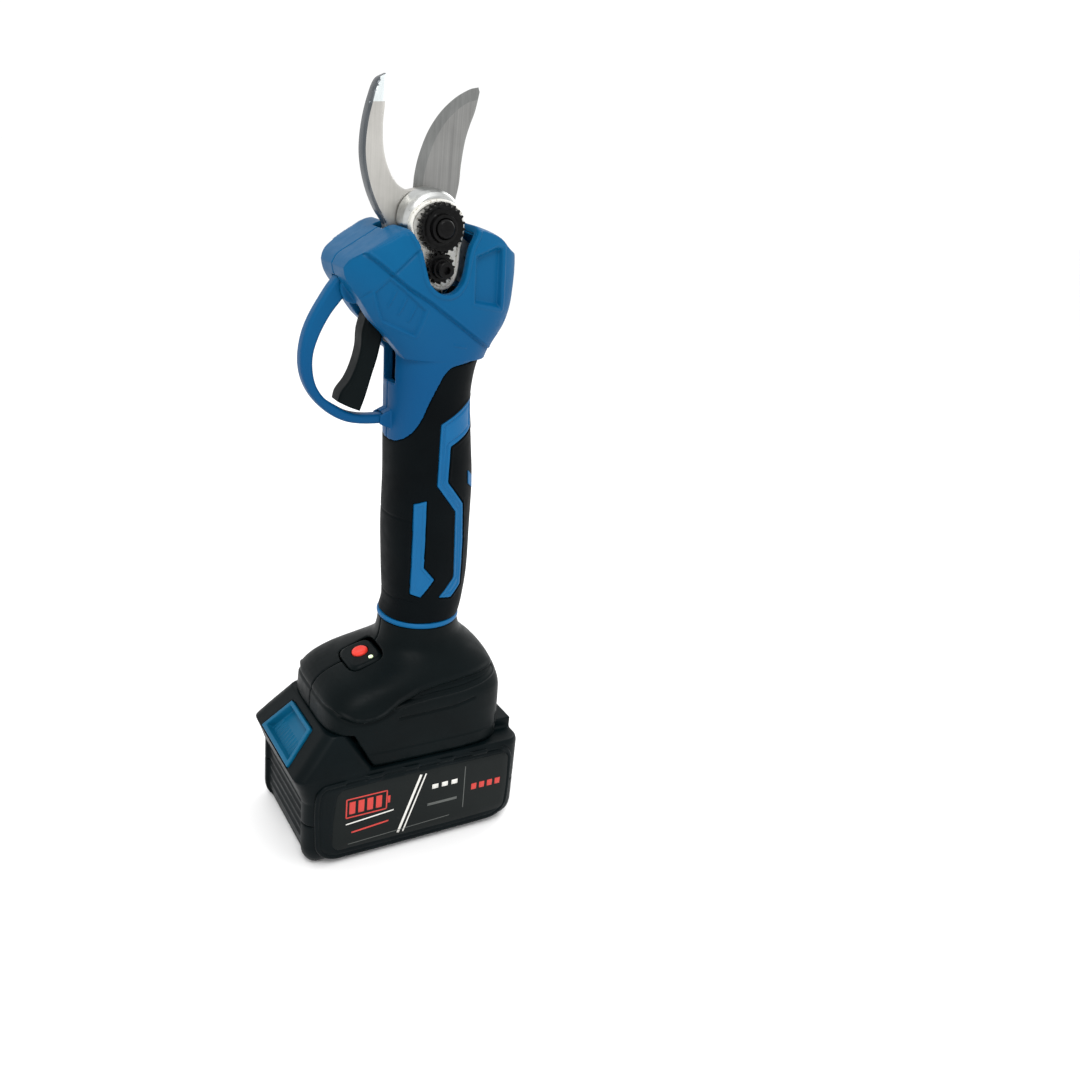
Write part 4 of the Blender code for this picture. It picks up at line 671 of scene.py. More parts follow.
def oval(x0, x1, half, z, power=2.0, count=96, inset=0.0):
    centre, a, b = (x0 + x1) / 2, (x1 - x0) / 2 - inset, half - inset
    ring = []
    for i in range(count):
        t = 2 * math.pi * (i + 0.5) / count
        c, s = math.cos(t), math.sin(t)
        ring.append((centre + a * math.copysign(abs(c) ** (2 / power), c),
                     b * math.copysign(abs(s) ** (2 / power), s), z))
    return ring


def handle_solid(name, inset, z0, z1, count=96, pitch=3.0):
    rings = []
    for z in np.linspace(z0, z1, int((z1 - z0) / pitch) + 2):
        c, a, b = handle_row(z)
        rings.append(oval(c - a, c + a, b, z, 2.15, count, inset))
    return loft(name, rings)


def rounded(x0, x1, half, z, radius, inset=0.0, per_corner=9):
    ring = []
    x0, x1, half, radius = x0 + inset, x1 - inset, half - inset, max(radius - inset, 0.8)
    for cx, cy, first in ((x1 - radius, half - radius, 0), (x0 + radius, half - radius, 90),
                          (x0 + radius, radius - half, 180), (x1 - radius, radius - half, 270)):
        for k in range(per_corner):
            t = math.radians(first + 90 * k / (per_corner - 1))
            ring.append((cx + radius * math.cos(t), cy + radius * math.sin(t), z))
    return ring


# ------------------------------------------------------------------ head and handle shells
head_line = resample(HEAD, 1.5, corner=30)
top_line = SLEEVE_TOP[:]
region_above = [(-60, 205.6)] + resample(top_line, 1.5, closed=False, corner=60)[1:] + [(60, 252), (60, 262), (-60, 262)]
STEP_LINE = [(-60, 297), (-51.1, 294.3), (-45.5, 292.9), (-38.8, 288.8), (-32.0, 283.7), (-24.9, 278.6), (-15.4, 273.3),
             (-5.4, 266.6), (9.1, 257.0), (22, 249)]
CROSS_LINE = [(-32, 283.7), (-28.2, 287.5), (-22.3, 293.3), (-17.0, 298.4), (-12, 303)]
CHIN_LINE = [(-32, 283.7), (-38.3, 277.5), (-43.7, 272.2), (-50, 266)]
EMBLEM = [(-33.3, 282.0), (-39.1, 275.9), (-36.5, 268.5), (-33.9, 263.1), (-19.9, 257.6), (-16.5, 269.1), (-27.1, 277.7)]
POCKET = [(4.6, 292.6), (15.7, 296.8), (19.4, 296.0), (20.8, 269.6), (5.4, 272.3)]
BACK_LINE = [(20.6, 262), (21.4, 272), (20.6, 288), (24, 300)]
window_line = [(x, z) for x, z in shrink(TEARDROP, -0.25) if z < 300]
WINDOW = [(-25.9, 330), (-25.7, 304)] + [p for p in window_line if p[0] < -9] + \
    [p for p in window_line if p[0] >= -9] + [(5.0, 303), (5.6, 330)]
window_smooth = resample(WINDOW, 1.0, corner=60)


def head_relief(x, z):
    """How far the head's flat sides stand out from their base plane, in mm."""
    p = np.stack([x, z], axis=1)
    above = side_of(p, STEP_LINE)          # positive above the diagonal
    cross = side_of(p, CROSS_LINE)         # positive on the nose side of the cross line
    chin = side_of(p, CHIN_LINE)           # positive below the chin line
    out = 1.15 * step(above, -0.3, 0.3)
    out -= 0.5 * np.exp(-((above + 0.75) / 0.5) ** 2)
    out += 0.3 * np.exp(-((above - 0.7) / 0.5) ** 2)
    # facets falling away towards the nose, above and below the diagonal
    nose = np.clip(cross, 0, 60) * (above > -0.3)
    out -= 0.03 * nose * step(above, -0.3, 0.5) + 0.6 * np.exp(-((cross) / 0.6) ** 2) * (above > 0) * (z < 300)
    out += 0.45 * step(cross, 0.2, 1.0) * step(above, -0.3, 0.5) * (z < 300)
    low = np.clip(-chin, 0, 60) * step(-above, -0.3, 0.5) * (x < -30)
    out -= 0.04 * low * (z > 262)
    out -= 0.55 * np.exp(-(chin / 0.6) ** 2) * (above < 0) * (x < -31)
    # emblem field with plain ribs
    field = depth_in(p, EMBLEM)
    out -= 1.0 * step(field, 0.0, 0.9) - 0.3 * np.exp(-((field + 0.6) / 0.5) ** 2)
    for k in range(3):
        cx, cz = -31.6 + 4.6 * k, 273.4 - 3.0 * k
        along = (p - (cx, cz)) @ np.array([0.36, 0.93])
        across = (p - (cx, cz)) @ np.array([0.93, -0.36])
        out += 0.55 * step(0.75 - np.abs(across), 0, 0.5) * step(4.2 - np.abs(along), 0, 0.8) * (field > 0.8)
    # pocket at the back of the head
    well = depth_in(p, POCKET)
    out -= 2.6 * step(well, 0.0, 2.0) - 0.35 * np.exp(-((well + 0.7) / 0.6) ** 2)
    # the back edge falls away
    back = np.clip(-side_of(p, BACK_LINE), 0, 30) * (z > 258) * (z < 299)
    out -= 0.05 * back
    # raised rim round the window
    rim = -depth_in(p, window_smooth)
    out += 0.7 * step(rim, -0.4, 0.25) * step(2.4 - rim, 0, 0.8) * (z < 303)
    # small raised bar under the diagonal
    bar = np.stack([x - 1.5, z - 253.2], axis=1)
    along, across = bar @ np.array([0.985, -0.17]), bar @ np.array([0.17, 0.985])
    out += 0.35 * step(3.6 - np.abs(along), 0, 0.6) * step(0.7 - np.abs(across), 0, 0.5)
    return out


def hull(name, inset):
    """The rounded hull that the head is trimmed to, with its levels eased into one another."""
    table = np.array(HULL)
    rings = []
    slopes = np.gradient(table[:, 1:], table[:, 0], axis=0)
    for i in range(len(table) - 1):
        h = table[i + 1, 0] - table[i, 0]
        for t in (0.0, 0.34, 0.67):
            row = ((2 * t**3 - 3 * t**2 + 1) * table[i, 1:] + (t**3 - 2 * t**2 + t) * h * slopes[i]
                   + (3 * t**2 - 2 * t**3) * table[i + 1, 1:] + (t**3 - t**2) * h * slopes[i + 1])
            rings.append(oval(row[0], row[1], row[2], table[i, 0] + t * h, row[3], 128, inset))
    z, x0, x1, half, power = table[-1]
    return loft(name, rings + [oval(x0, x1, half, z, power, 128, inset)])


def shells():
    shell_voxel = 0.42
    for name, sign in (("shell_left", -1), ("shell_right", 1)):
        y_in, y_out = 0.12 * sign, 60 * sign
        lo, hi = sorted((y_in, y_out))
        levels = [(-24.0, 3.0), (-23.0, 1.2), (-21.2, 0.25), (-19.4, 0), (19.4, 0), (21.2, 0.25), (23.0, 1.2), (24.0, 3.0)]
        head = loft("head", [[(x, y, z) for x, z in shrink(head_line, inset)] for y, inset in levels])
        head = combine(head, ("&", hull("trim", 0.0)))
        upper = handle_solid("upper", 0.0, 200.0, 262.0)
        upper = combine(upper, ("&", prism("keep", region_above, -40, 40)))
        core = handle_solid("core", 2.15, 116.2, 262)
        body = combine(head, ("+", upper), ("+", core))
        # knuckles where the guard meets the nose and the handle
        knuckle = prism("knuckle", resample([(-40.5, 284), (-46.8, 279.6), (-48.4, 274.5), (-46.0, 269.6), (-41.0, 268.0), (-36, 272)], 1.5), -6.2, 6.2)
        tongue = prism("tongue", resample([(-18, 221.4), (-23.0, 220.0), (-27.2, 218.0), (-27.2, 213.9), (-22.6, 211.8), (-18, 210.4)], 1.5), -4.6, 4.6)
        body = combine(body, ("+", knuckle), ("+", tongue))
        cavity = loft("cavity", [[(x, y, z) for x, z in shrink([p for p in HEAD if p[1] > 250 or abs(p[0]) < 30], 3.0)]
                                 for y in (-21.4, 21.4)])
        cavity = combine(cavity, ("&", hull("room", 2.4)))
        bore = handle_solid("bore", 4.1, 110, 262)
        body = combine(
            body, ("-", cavity), ("-", bore), ("-", prism("near", window_smooth, -40, -4)),
            ("-", prism("far", window_smooth, 4, 40)),
            ("-", prism("slot", [(-30.3, 330), (-30.3, 292), (13.8, 292), (16.4, 299), (16.4, 330)], -5.2, 6.6)),
            ("-", prism("trigger_slot", [(-50, 262.6), (-41.4, 268.6), (-36.8, 273.6), (-22, 273.6), (-17, 262), (-14, 233),
                                         (-40, 233), (-60, 240)], -6.2, 6.2)),
            ("-", slab("guard_seat", shrink(GUARD_OUTER + GUARD_INNER, -0.2), [(-3.8, 0), (3.8, 0)])),
            *[("+", rod("boss", 3.4, (x, -17.5, z), (x, 17.5, z), 32)) for x, z in ((22.6, 286.0), (22.0, 265.5))],
            *[("-", rod("shank", 1.8, (x, -15.6, z), (x, 16, z), 24)) for x, z in ((22.6, 286.0), (22.0, 265.5))],
            *[("-", rod("head_room", 3.0, (x, 15.4, z), (x, 40, z), 40)) for x, z in ((22.6, 286.0), (22.0, 265.5))],
            ("&", box("half", (-90, lo, 90), (90, hi, 330))),
        )
        moulded(body, shell_voxel, 5)
        co, no = points_of(body)
        flatness = step(np.abs(no[:, 1]), 0.45, 0.75) * step(np.abs(co[:, 1]), 11.0, 13.0) * step(co[:, 2], 246, 252) * \
            (np.sign(no[:, 1]) == sign)
        pick = flatness > 0
        lift = np.zeros(len(co))
        lift[pick] = head_relief(co[pick, 0], co[pick, 2])
        co[:, 1] += sign * lift * flatness
        put_points(body, co)
        body.name = name
        finish(body, "tool_body", BLUE, (name,), angle=None)


shells()


# raised blue inlays that show through the sleeve's windows
def inlays():
    for name, outline in (("stripe", STRIPE), ("arrow", ARROW)):
        for side, y0, y1 in (("near", -30, -6), ("far", 6, 30)):
            pad = handle_solid("pad", 0.05, 122, 232, 128)
            pad = combine(pad, ("-", handle_solid("hollow", 2.6, 118, 236, 128)),
                          ("&", prism("keep", shrink(outline, 0.18), y0, y1)))
            moulded(pad, 0.3, 3)
            co, no = points_of(pad)
            p = co[:, [0, 2]]
            c = np.array([handle_row(z) for z in p[:, 1]])
            radial = np.stack([co[:, 0] - c[:, 0], co[:, 1]], axis=1)
            radial /= np.maximum(np.linalg.norm(radial, axis=1), 1e-6)[:, None]
            outer = step((no[:, :2] * radial).sum(axis=1), 0.6, 0.85)
            rim = depth_in(p, shrink(outline, 0.18))
            if name == "stripe":
                drop = -0.55 * step(rim, 1.0, 1.5) + 0.45 * step(rim, 2.1, 2.6)
            else:
                drop = -0.4 * step(rim, 1.2, 1.8)
            co[:, 0] += radial[:, 0] * drop * outer
            co[:, 1] += radial[:, 1] * drop * outer
            put_points(pad, co)
            pad.name = f"inlay_{name}_{side}"
            finish(pad, "tool_body", BLUE_INLAY, angle=None)


def inlay_chip():
    """The small blue facet near the back edge of the grip, on both sides."""
    for side, y0, y1 in (("near", -40, -6), ("far", 6, 40)):
        chip = handle_solid("chip", -0.4, 178, 198, 128, 1.0)
        chip = combine(chip, ("-", handle_solid("hollow", 0.5, 174, 202, 128, 1.0)),
                       ("&", prism("keep", resample([(13.3, 193.2), (17.4, 189.5), (18.0, 183.0), (13.8, 186.6)], 0.5, corner=40), y0, y1)))
        moulded(chip, 0.22, 3)
        chip.name = "inlay_chip_" + side
        finish(chip, "tool_body", BLUE_INLAY, angle=None)


inlays()
inlay_chip()


def guard():
    """The bow round the trigger: an oval section that swells towards both ends."""
    outer = resample(GUARD_OUTER, 1.2, closed=False, corner=70)
    inner = resample(GUARD_INNER, 1.2, closed=False, corner=70)
    bow = slab("bow", outer + inner, [(-3.6, 1.3), (-3.1, 0.6), (-2.2, 0.12), (-1.2, 0), (1.2, 0), (2.2, 0.12), (3.1, 0.6), (3.6, 1.3)])
    moulded(bow, 0.32, 6)
    bow.name = "trigger_guard"
    finish(bow, "tool_body", BLUE, ("trigger_guard",), angle=None)


guard()


def sleeve():
    outline_top = [(x, z) for x, z in region_above]
    cover = handle_solid("cover", 0.0, 116.2, 251.6, 128)
    cover = combine(cover, ("-", handle_solid("inside", 1.85, 110, 262, 128)),
                    ("-", prism("above", shrink(outline_top, -0.22), -40, 40)),
                    ("-", loft("head_room", [[(x, y, z) for x, z in shrink(HEAD, -0.3)] for y in (-41, 41)])))
    for outline in (STRIPE, ARROW):
        for y0, y1 in ((-40, -5.6), (5.6, 40)):
            cover = combine(cover, ("-", prism("pane", shrink(outline, -0.12), y0, y1)))
    moulded(cover, 0.42, 5)
    co, no = points_of(cover)
    c = np.array([handle_row(z) for z in co[:, 2]])
    radial = np.stack([co[:, 0] - c[:, 0], co[:, 1]], axis=1)
    radial /= np.maximum(np.linalg.norm(radial, axis=1), 1e-6)[:, None]
    outer = step((no[:, :2] * radial).sum(axis=1), 0.5, 0.8)
    z = co[:, 2]
    drop = np.zeros(len(co))
    for level in (169.6, 127.0):
        drop -= 0.3 * np.exp(-((z - level) / 0.5) ** 2) * step(-co[:, 0], 6, 12)
    p = co[:, [0, 2]]
    for outline in (STRIPE, ARROW):
        rim = -depth_in(p, outline)
        drop += 0.22 * step(rim, 0, 0.4) * step(1.3 - rim, 0, 0.5) * (np.abs(co[:, 1]) > 6)
    co[:, 0] += radial[:, 0] * drop * outer
    co[:, 1] += radial[:, 1] * drop * outer
    put_points(cover, co)
    cover.name = "grip_sleeve"
    finish(cover, "tool_body", RUBBER, ("grip_sleeve",), angle=None)


sleeve()


def hoop(name, profile, at, steps=96):
    """A ring turned from a closed profile of radius and height."""
    rings = []
    for i in range(steps):
        t = 2 * math.pi * i / steps
        rings.append([(at[0] + r * math.cos(t), at[1] + r * math.sin(t), at[2] + h) for r, h in profile])
    n = len(profile)
    verts = [p for q in rings for p in q]
    faces = [(i * n + k, i * n + (k + 1) % n, ((i + 1) % steps) * n + (k + 1) % n, ((i + 1) % steps) * n + k)
             for i in range(steps) for k in range(n)]
    return raw(name, verts, faces)


collar = hoop("collar_ring", [(15.6, 113.4), (19.9, 113.4), (20.3, 113.9), (20.4, 114.6), (20.3, 115.3), (19.9, 115.8), (15.6, 115.8)],
              (0.15, 0, 0))
finish(collar, "tool_body", BLUE_INLAY, ("collar_ring",))


# ------------------------------------------------------------------ blades
def ease(d, reach, depth):
    """A bevel that reaches in from an edge and drops by depth at it."""
    return depth * np.clip(1 - d / reach, 0, 1)


def blades():
    # hooked counter blade: its inner curve is the cutting anvil, with a ground flat along it
    bores = [circle(4.3, PIVOT, 40), circle(2.0, (-24.2, 292.0), 24), circle(2.0, (-21.8, 282.2), 24)]
    outline = [p for p in HOOK]
    anvil = resample([(-31.0, 360.0), (-31.4, 349.2), (-31.9, 340.4), (-31.0, 331.0), (-28.4, 323.6), (-24.4, 318.2), (-19.6, 315.9),
                      (-15.4, 316.8)], 1.0, closed=False)
    outer = resample([(-34.9, 357.4), (-37.6, 350.6), (-39.6, 341.7), (-40.4, 332.1), (-39.6, 324.2), (-37.0, 315.2), (-33.2, 307.4),
                      (-28.6, 300.4)], 1.0, closed=False)

    def hook_near(x, z, d):
        p = np.stack([x, z], axis=1)
        inner = edge_distance(p, anvil, closed=False)
        back = edge_distance(p, outer, closed=False)
        return 0.35 * step(1.3 - back, 0, 0.5) + ease(inner, 1.4, 0.2) + 1.3 * np.clip((z - 347.8) / 12, 0, 1)

    def hook_far(x, z, d):
        p = np.stack([x, z], axis=1)
        return ease(edge_distance(p, anvil, closed=False), 1.6, 0.5)

    hook = flat_piece("fixed_blade", outline, -4.2, 0.8, bores, near=hook_near, far=hook_far, grid=0.9, edge=0.25, spacing=0.5,
                      offsets=(0.8, 1.3), line=[(-39.6, 348.6), (-30.2, 349.6)])
    finish(hook, "tool_body", STEEL, ("fixed_blade",), angle=24)
    # painted highlight: the near face of the hook's tip above the crease is painted pale, near-white steel
    paint(hook, LIT_TIP_STEEL, lambda c, n: n.y < -0.7 and c.z > 349.6 - 0.11 * (-30.2 - c.x))
    rim = np.array(outer)

    # painted shade: the hook's outer side faces and a 1.35 mm strip of its near face along the outer edge are painted
    # dark
    def shaded_edge_band(c, n):
        return (abs(n.y) < 0.7 and n.x < -0.2 and c.x < -29) or \
            (n.y < -0.3 and c.z > 302 and np.hypot(rim[:, 0] - c.x, rim[:, 1] - c.z).min() < 1.35)

    paint(hook, SHADED_EDGE_STEEL, shaded_edge_band)

    # crescent blade with its hub and toothed tail
    pitch_angle = 2 * math.pi / 36
    drive_angle = math.atan2(DRIVE[1] - PIVOT[1], DRIVE[0] - PIVOT[0])
    distance = math.hypot(DRIVE[0] - PIVOT[0], DRIVE[1] - PIVOT[1])
    module = 2 * (distance / 5) / 9
    teeth = gear_points(module, 36, 8, PIVOT, drive_angle - 6 * pitch_angle)
    hub_left = [(PIVOT[0] + 13.6 * math.cos(math.radians(a)), PIVOT[1] + 13.6 * math.sin(math.radians(a)))
                for a in range(206, 124, -5)]
    hub_right = [(PIVOT[0] + 14.6 * math.cos(math.radians(a)), PIVOT[1] + 14.6 * math.sin(math.radians(a)))
                 for a in range(8, -34, -6)]
    edge_line = resample(BLADE_EDGE, 0.7, closed=False)
    spine = resample(BLADE_SPINE, 0.9, closed=False)
    loop = teeth + hub_right[::-1] + spine[::-1] + edge_line[::-1] + hub_left[::-1]

    def bevel_far(x, z, d):
        near_edge = edge_distance(np.stack([x, z], axis=1), edge_line, closed=False)
        return ease(near_edge, 6.2, 2.6) + ease(near_edge, 1.0, 0.35)

    def bevel_near(x, z, d):
        # the band along the edge is dressed flat, a shade lower than the ground face
        near_edge = edge_distance(np.stack([x, z], axis=1), edge_line, closed=False)
        return 0.16 * np.clip(1 - near_edge / 4.4, 0, 1)

    blade = flat_piece("moving_blade", loop, 1.1, 4.6, [circle(6.5, PIVOT, 48)], near=bevel_near, far=bevel_far, grid=0.9,
                       edge=0.12, spacing=50.0, offsets=(1.0, 4.4))
    finish(blade, "cutting_blade", BLADE_STEEL, ("moving_blade",), angle=24)
    band = np.array(edge_line)

    def dressed(c, n):
        return abs(n.y) > 0.5 and c.z > 314 and np.hypot(band[:, 0] - c.x, band[:, 1] - c.z).min() < 4.42

    paint(blade, DRESSED_STEEL, dressed)


def gear_points(module, teeth, count, centre, first, addendum=0.8, dedendum=1.15, backlash=0.22, flank=5):
    pressure = math.radians(25)
    pitch_r = module * teeth / 2
    base = pitch_r * math.cos(pressure)
    tip, root = pitch_r + addendum * module, pitch_r - dedendum * module
    low = max(base * 1.0005, root)
    radii = [root] + [low + (tip - low) * i / (flank - 2) for i in range(flank - 1)]

    def involute(t):
        return math.tan(t) - t

    pts = []
    for k in range(count):
        middle = first + 2 * math.pi * k / teeth
        halves = [math.pi / (2 * teeth) - backlash / (2 * pitch_r) + involute(pressure)
                  - involute(math.acos(min(base / max(r, low), 1.0))) for r in radii]
        for r, h in zip(radii, halves):
            pts.append((r, middle - h))
        for r, h in reversed(list(zip(radii, halves))):
            pts.append((r, middle + h))
    return [(centre[0] + r * math.cos(a), centre[1] + r * math.sin(a)) for r, a in pts]


BLADE_STEEL = metal("blade_steel", (0.235, 0.235, 0.23), (0.315, 0.315, 0.305), (0.32, 0.42), (1100.0, 1100.0, 14.0), bump=0.14)
DRESSED_STEEL = metal("dressed_edge_steel", (0.20, 0.205, 0.20), (0.25, 0.255, 0.25), (0.34, 0.44), (700.0, 700.0, 60.0), bump=0.1)
blades()


# ------------------------------------------------------------------ casting, adjusting nut and screws
def casting():
    """The cream cast head: its plate has a raised rim with a shallow floor, on a block that carries the drive."""
    screws = ((-24.2, 292.0), (-21.8, 282.2))
    plate_line = resample(TEARDROP, 0.8, corner=60)
    face_line = [(-11.0, 314.2), (-17.1, 312.5), (-21.7, 308.8), (-23.6, 304.0), (-22.4, 298.6), (-19.8, 291.5), (-17.4, 284.8),
                 (-14.9, 280.3), (-8.9, 276.8), (-4.4, 277.5), (-1.5, 280.7), (-0.1, 286.0), (0.3, 294.2), (1.3, 300.0), (1.3, 305.6),
                 (-1.2, 310.9), (-5.7, 313.6)]

    def floor(x, z, d):
        return 0.7 * step(d, 1.1, 1.8)

    holes = [circle(4.3, PIVOT, 40), circle(2.3, LOCK, 24)]
    front = flat_piece("casting_plate", face_line, -18.0, -14.4, holes, near=floor, grid=0.8, edge=0.7, spacing=0.6,
                       offsets=(1.1, 1.45, 1.8))
    block_line = [(-29.2, 296.6), (-23.0, 299.0), (2.0, 299.0), (12.4, 292.4), (17.2, 285.0), (17.2, 262), (12, 254.6),
                  (-14, 254.6), (-19.0, 260), (-20.6, 270), (-28.6, 276.4)]
    body = prism("block", resample(block_line, 2.0, corner=20), -15.6, -4.5)
    body = combine(body, ("+", slab("stem", plate_line, [(-15.0, 3.2), (-13.6, 1.6), (-11.4, 0.6), (-8.0, 0.2), (-4.9, 0.1)])),
                   ("+", rod("neck", 13.4, (DRIVE[0], 0, 243.9), (DRIVE[0], 0, 257.8), 56)),
                   ("-", rod("chamber", 14.4, (DRIVE[0], -12.4, DRIVE[1]), (DRIVE[0], 20, DRIVE[1]), 56)),
                   ("-", rod("seat", 5.5, (DRIVE[0], -30, DRIVE[1]), (DRIVE[0], -11, DRIVE[1]))),
                   ("-", rod("bore", 8.2, (DRIVE[0], 0, 240), (DRIVE[0], 0, 250.2))),
                   ("-", rod("bore2", 6.6, (DRIVE[0], 0, 249), (DRIVE[0], 0, 270))),
                   ("-", rod("pivot", 4.3, (PIVOT[0], -30, PIVOT[1]), (PIVOT[0], 0, PIVOT[1]))),
                   ("-", rod("lock", 2.3, (LOCK[0], -30, LOCK[1]), (LOCK[0], -8.6, LOCK[1]), 24)),
                   *[("-", rod("screw", 2.3, (s[0], -30, s[1]), (s[0], 0, s[1]), 24)) for s in screws])
    moulded(body, 0.35, 4)
    body.name = "casting_body"
    finish(body, "tool_body", CAST_SIDE, ("head_casting",), angle=None)
    finish(front, "tool_body", CAST, angle=28)


casting()


def toothed(name, teeth, centre, module, boss, first):
    """A black toothed disc with chunky rounded teeth, a dished face and a raised boss."""
    line = gear_points(module, teeth, teeth, centre, first, 0.5, 0.75, 0.35, 3)
    bore = 4.3 if name == "pivot_nut" else 2.3

    def face(x, z, d):
        r = np.hypot(x - centre[0], z - centre[1])
        outer = module * teeth / 2 - 1.4
        return 0.5 * step(outer - r, 0, 0.6) * step(r, boss + 0.2, boss + 0.8) + 0.0

    disc = flat_piece("disc", line, -22.0, -18.3, [circle(bore, centre, 40)], near=face, grid=0.7, edge=0.3, spacing=50.0,
                      offsets=(0.6,))
    hub = hoop_y("hub", [(bore, -22.2), (bore, -24.0), (bore + 0.2, -24.2), (boss - 0.5, -24.2), (boss - 0.12, -24.05),
                         (boss, -23.7), (boss + 0.35, -21.6), (bore, -21.6)], (centre[0], 0, centre[1]))
    disc = merged(disc, hub)
    disc.name = name
    finish(disc, "tool_body", OXIDE, (name,), angle=30)


def hoop_y(name, profile, at, steps=72):
    rings = []
    for i in range(steps):
        t = 2 * math.pi * i / steps
        rings.append([(at[0] + r * math.cos(t), at[1] + h, at[2] + r * math.sin(t)) for r, h in profile])
    n = len(profile)
    verts = [p for q in rings for p in q]
    faces = [(i * n + k, i * n + (k + 1) % n, ((i + 1) % steps) * n + (k + 1) % n, ((i + 1) % steps) * n + k)
             for i in range(steps) for k in range(n)]
    return raw(name, verts, faces)


lock_distance = math.hypot(LOCK[0] - PIVOT[0], LOCK[1] - PIVOT[1])
lock_module = 2 * lock_distance / 39
lock_angle = math.atan2(LOCK[1] - PIVOT[1], LOCK[0] - PIVOT[0])
toothed("pivot_nut", 24, PIVOT, lock_module, 5.8, lock_angle)
toothed("lock_gear", 15, LOCK, lock_module, 4.2, lock_angle + math.pi + math.pi / 15)


def headed(name, profile, centre, socket, y0, y1, material=OXIDE, body="tool_body", slot=None):
    piece = turned(name, profile, "Y", (centre[0], 0, centre[1]), 72, 0.3)
    hexagon = [(centre[0] + socket * math.cos(math.radians(60 * k + 12)), centre[1] + socket * math.sin(math.radians(60 * k + 12)))
               for k in range(6)]
    piece = combine(piece, ("-", prism("hex", hexagon, y0, y1)))
    piece.name = name
    return finish(piece, body, material, (name,), angle=32)


headed("pivot_bolt", [(0, -25.8), (3.2, -25.8), (4.0, -25.0), (4.0, 6.2), (8.0, 6.2), (8.0, 10.2), (7.0, 11.2), (0, 11.2)],
       PIVOT, 4.0, 8.0, 14.0)
headed("lock_screw", [(0, -28.0), (3.1, -28.0), (3.5, -27.6), (3.5, -24.5), (2.0, -24.5), (2.0, -9.0), (0, -9.0)],
       LOCK, 1.8, -30.0, -26.0)
for tag, spot in (("upper", (-24.2, 292.0)), ("lower", (-21.8, 282.2))):
    headed("blade_screw_" + tag,
           [(0, -19.8), (3.3, -19.8), (3.5, -19.4), (3.5, -15.9), (1.7, -15.9), (1.7, 0.5), (0, 0.5)], spot, 1.8, -23.0, -17.8)


# ------------------------------------------------------------------ trigger
def trigger():
    lever = slab("lever", resample(TRIGGER, 1.2, corner=42), [(-5.4, 1.3), (-4.9, 0.5), (-4.0, 0), (4.0, 0), (4.9, 0.5), (5.4, 1.3)])
    tx, tz = -31.0, 264.0
    lever = combine(lever, ("-", rod("bore", 1.8, (tx, -10, tz), (tx, 10, tz), 32)),
                    ("-", box("room", (tx - 3.3, -2.7, tz - 3.4), (tx + 9, 2.7, tz + 9))))
    moulded(lever, 0.3, 4)
    lever.name = "trigger"
    finish(lever, "trigger_lever", BLACK, ("trigger",), angle=None)


trigger()


# ------------------------------------------------------------------ base
def base_row(z):
    table = np.array(BASE)
    z = min(max(z, table[0, 0]), table[-1, 0])
    i = int(np.clip(np.searchsorted(table[:, 0], z) - 1, 0, len(table) - 2))
    a, b = table[i], table[i + 1]
    before, after = table[max(i - 1, 0)], table[min(i + 2, len(table) - 1)]
    h = b[0] - a[0]
    t = (z - a[0]) / h
    ta = (b[1:] - before[1:]) / max(b[0] - before[0], 1e-6) * h * (i > 0)
    tb = (after[1:] - a[1:]) / max(after[0] - a[0], 1e-6) * h
    return ((2 * t**3 - 3 * t**2 + 1) * a[1:] + (t**3 - 2 * t**2 + t) * ta + (3 * t**2 - 2 * t**3) * b[1:]
            + (t**3 - t**2) * tb)


def base_solid(name, inset, z0, z1, count=96):
    rings = []
    levels = [z for z in (z0, 60, 70, 76, 78, 80, 82, 84, 86, 88, 89.5, 91, 92.5, 94, 95.5, 97, 98.5, 100, 101.5, 103, 104.5, 106,
                          108, 110, 113) if z >= z0 and z < z1] + [z1]
    for z in levels:
        x0, x1, h, p = base_row(z)
        rings.append(oval(x0, x1, h, z, p, count, inset))
    return loft(name, rings)


POD = (-29.5, -2.0, 92.8)
POD_TILT = math.radians(17)
pod_frame = Matrix.Translation(POD) @ Matrix.Rotation(-POD_TILT, 4, "Y")


def pod_ring(half_x, half_y, z, power=4.5, count=64):
    return [tuple(pod_frame @ Vector(p)) for p in oval(-half_x, half_x, half_y, z, power, count)]


RIDGE = [(-62, 84.5), (-55, 82.0), (-49.4, 79.0), (-44, 76.8), (-39.3, 76.3), (-34, 77.0), (-29.2, 79.0), (-21.7, 83.5), (-11.5, 87.0),
         (-0.9, 88.6), (15.5, 89.8), (26.8, 90.0), (36, 89.6), (48, 88.6)]
GROOVE = [(-24.0, 81.6), (-20.2, 83.0), (-5.9, 84.1), (10.4, 84.8), (21.5, 86.0), (33.0, 87.6)]
THIN = [(-21.6, 74.6), (-5.7, 75.0), (7.9, 75.5), (18.9, 77.8)]


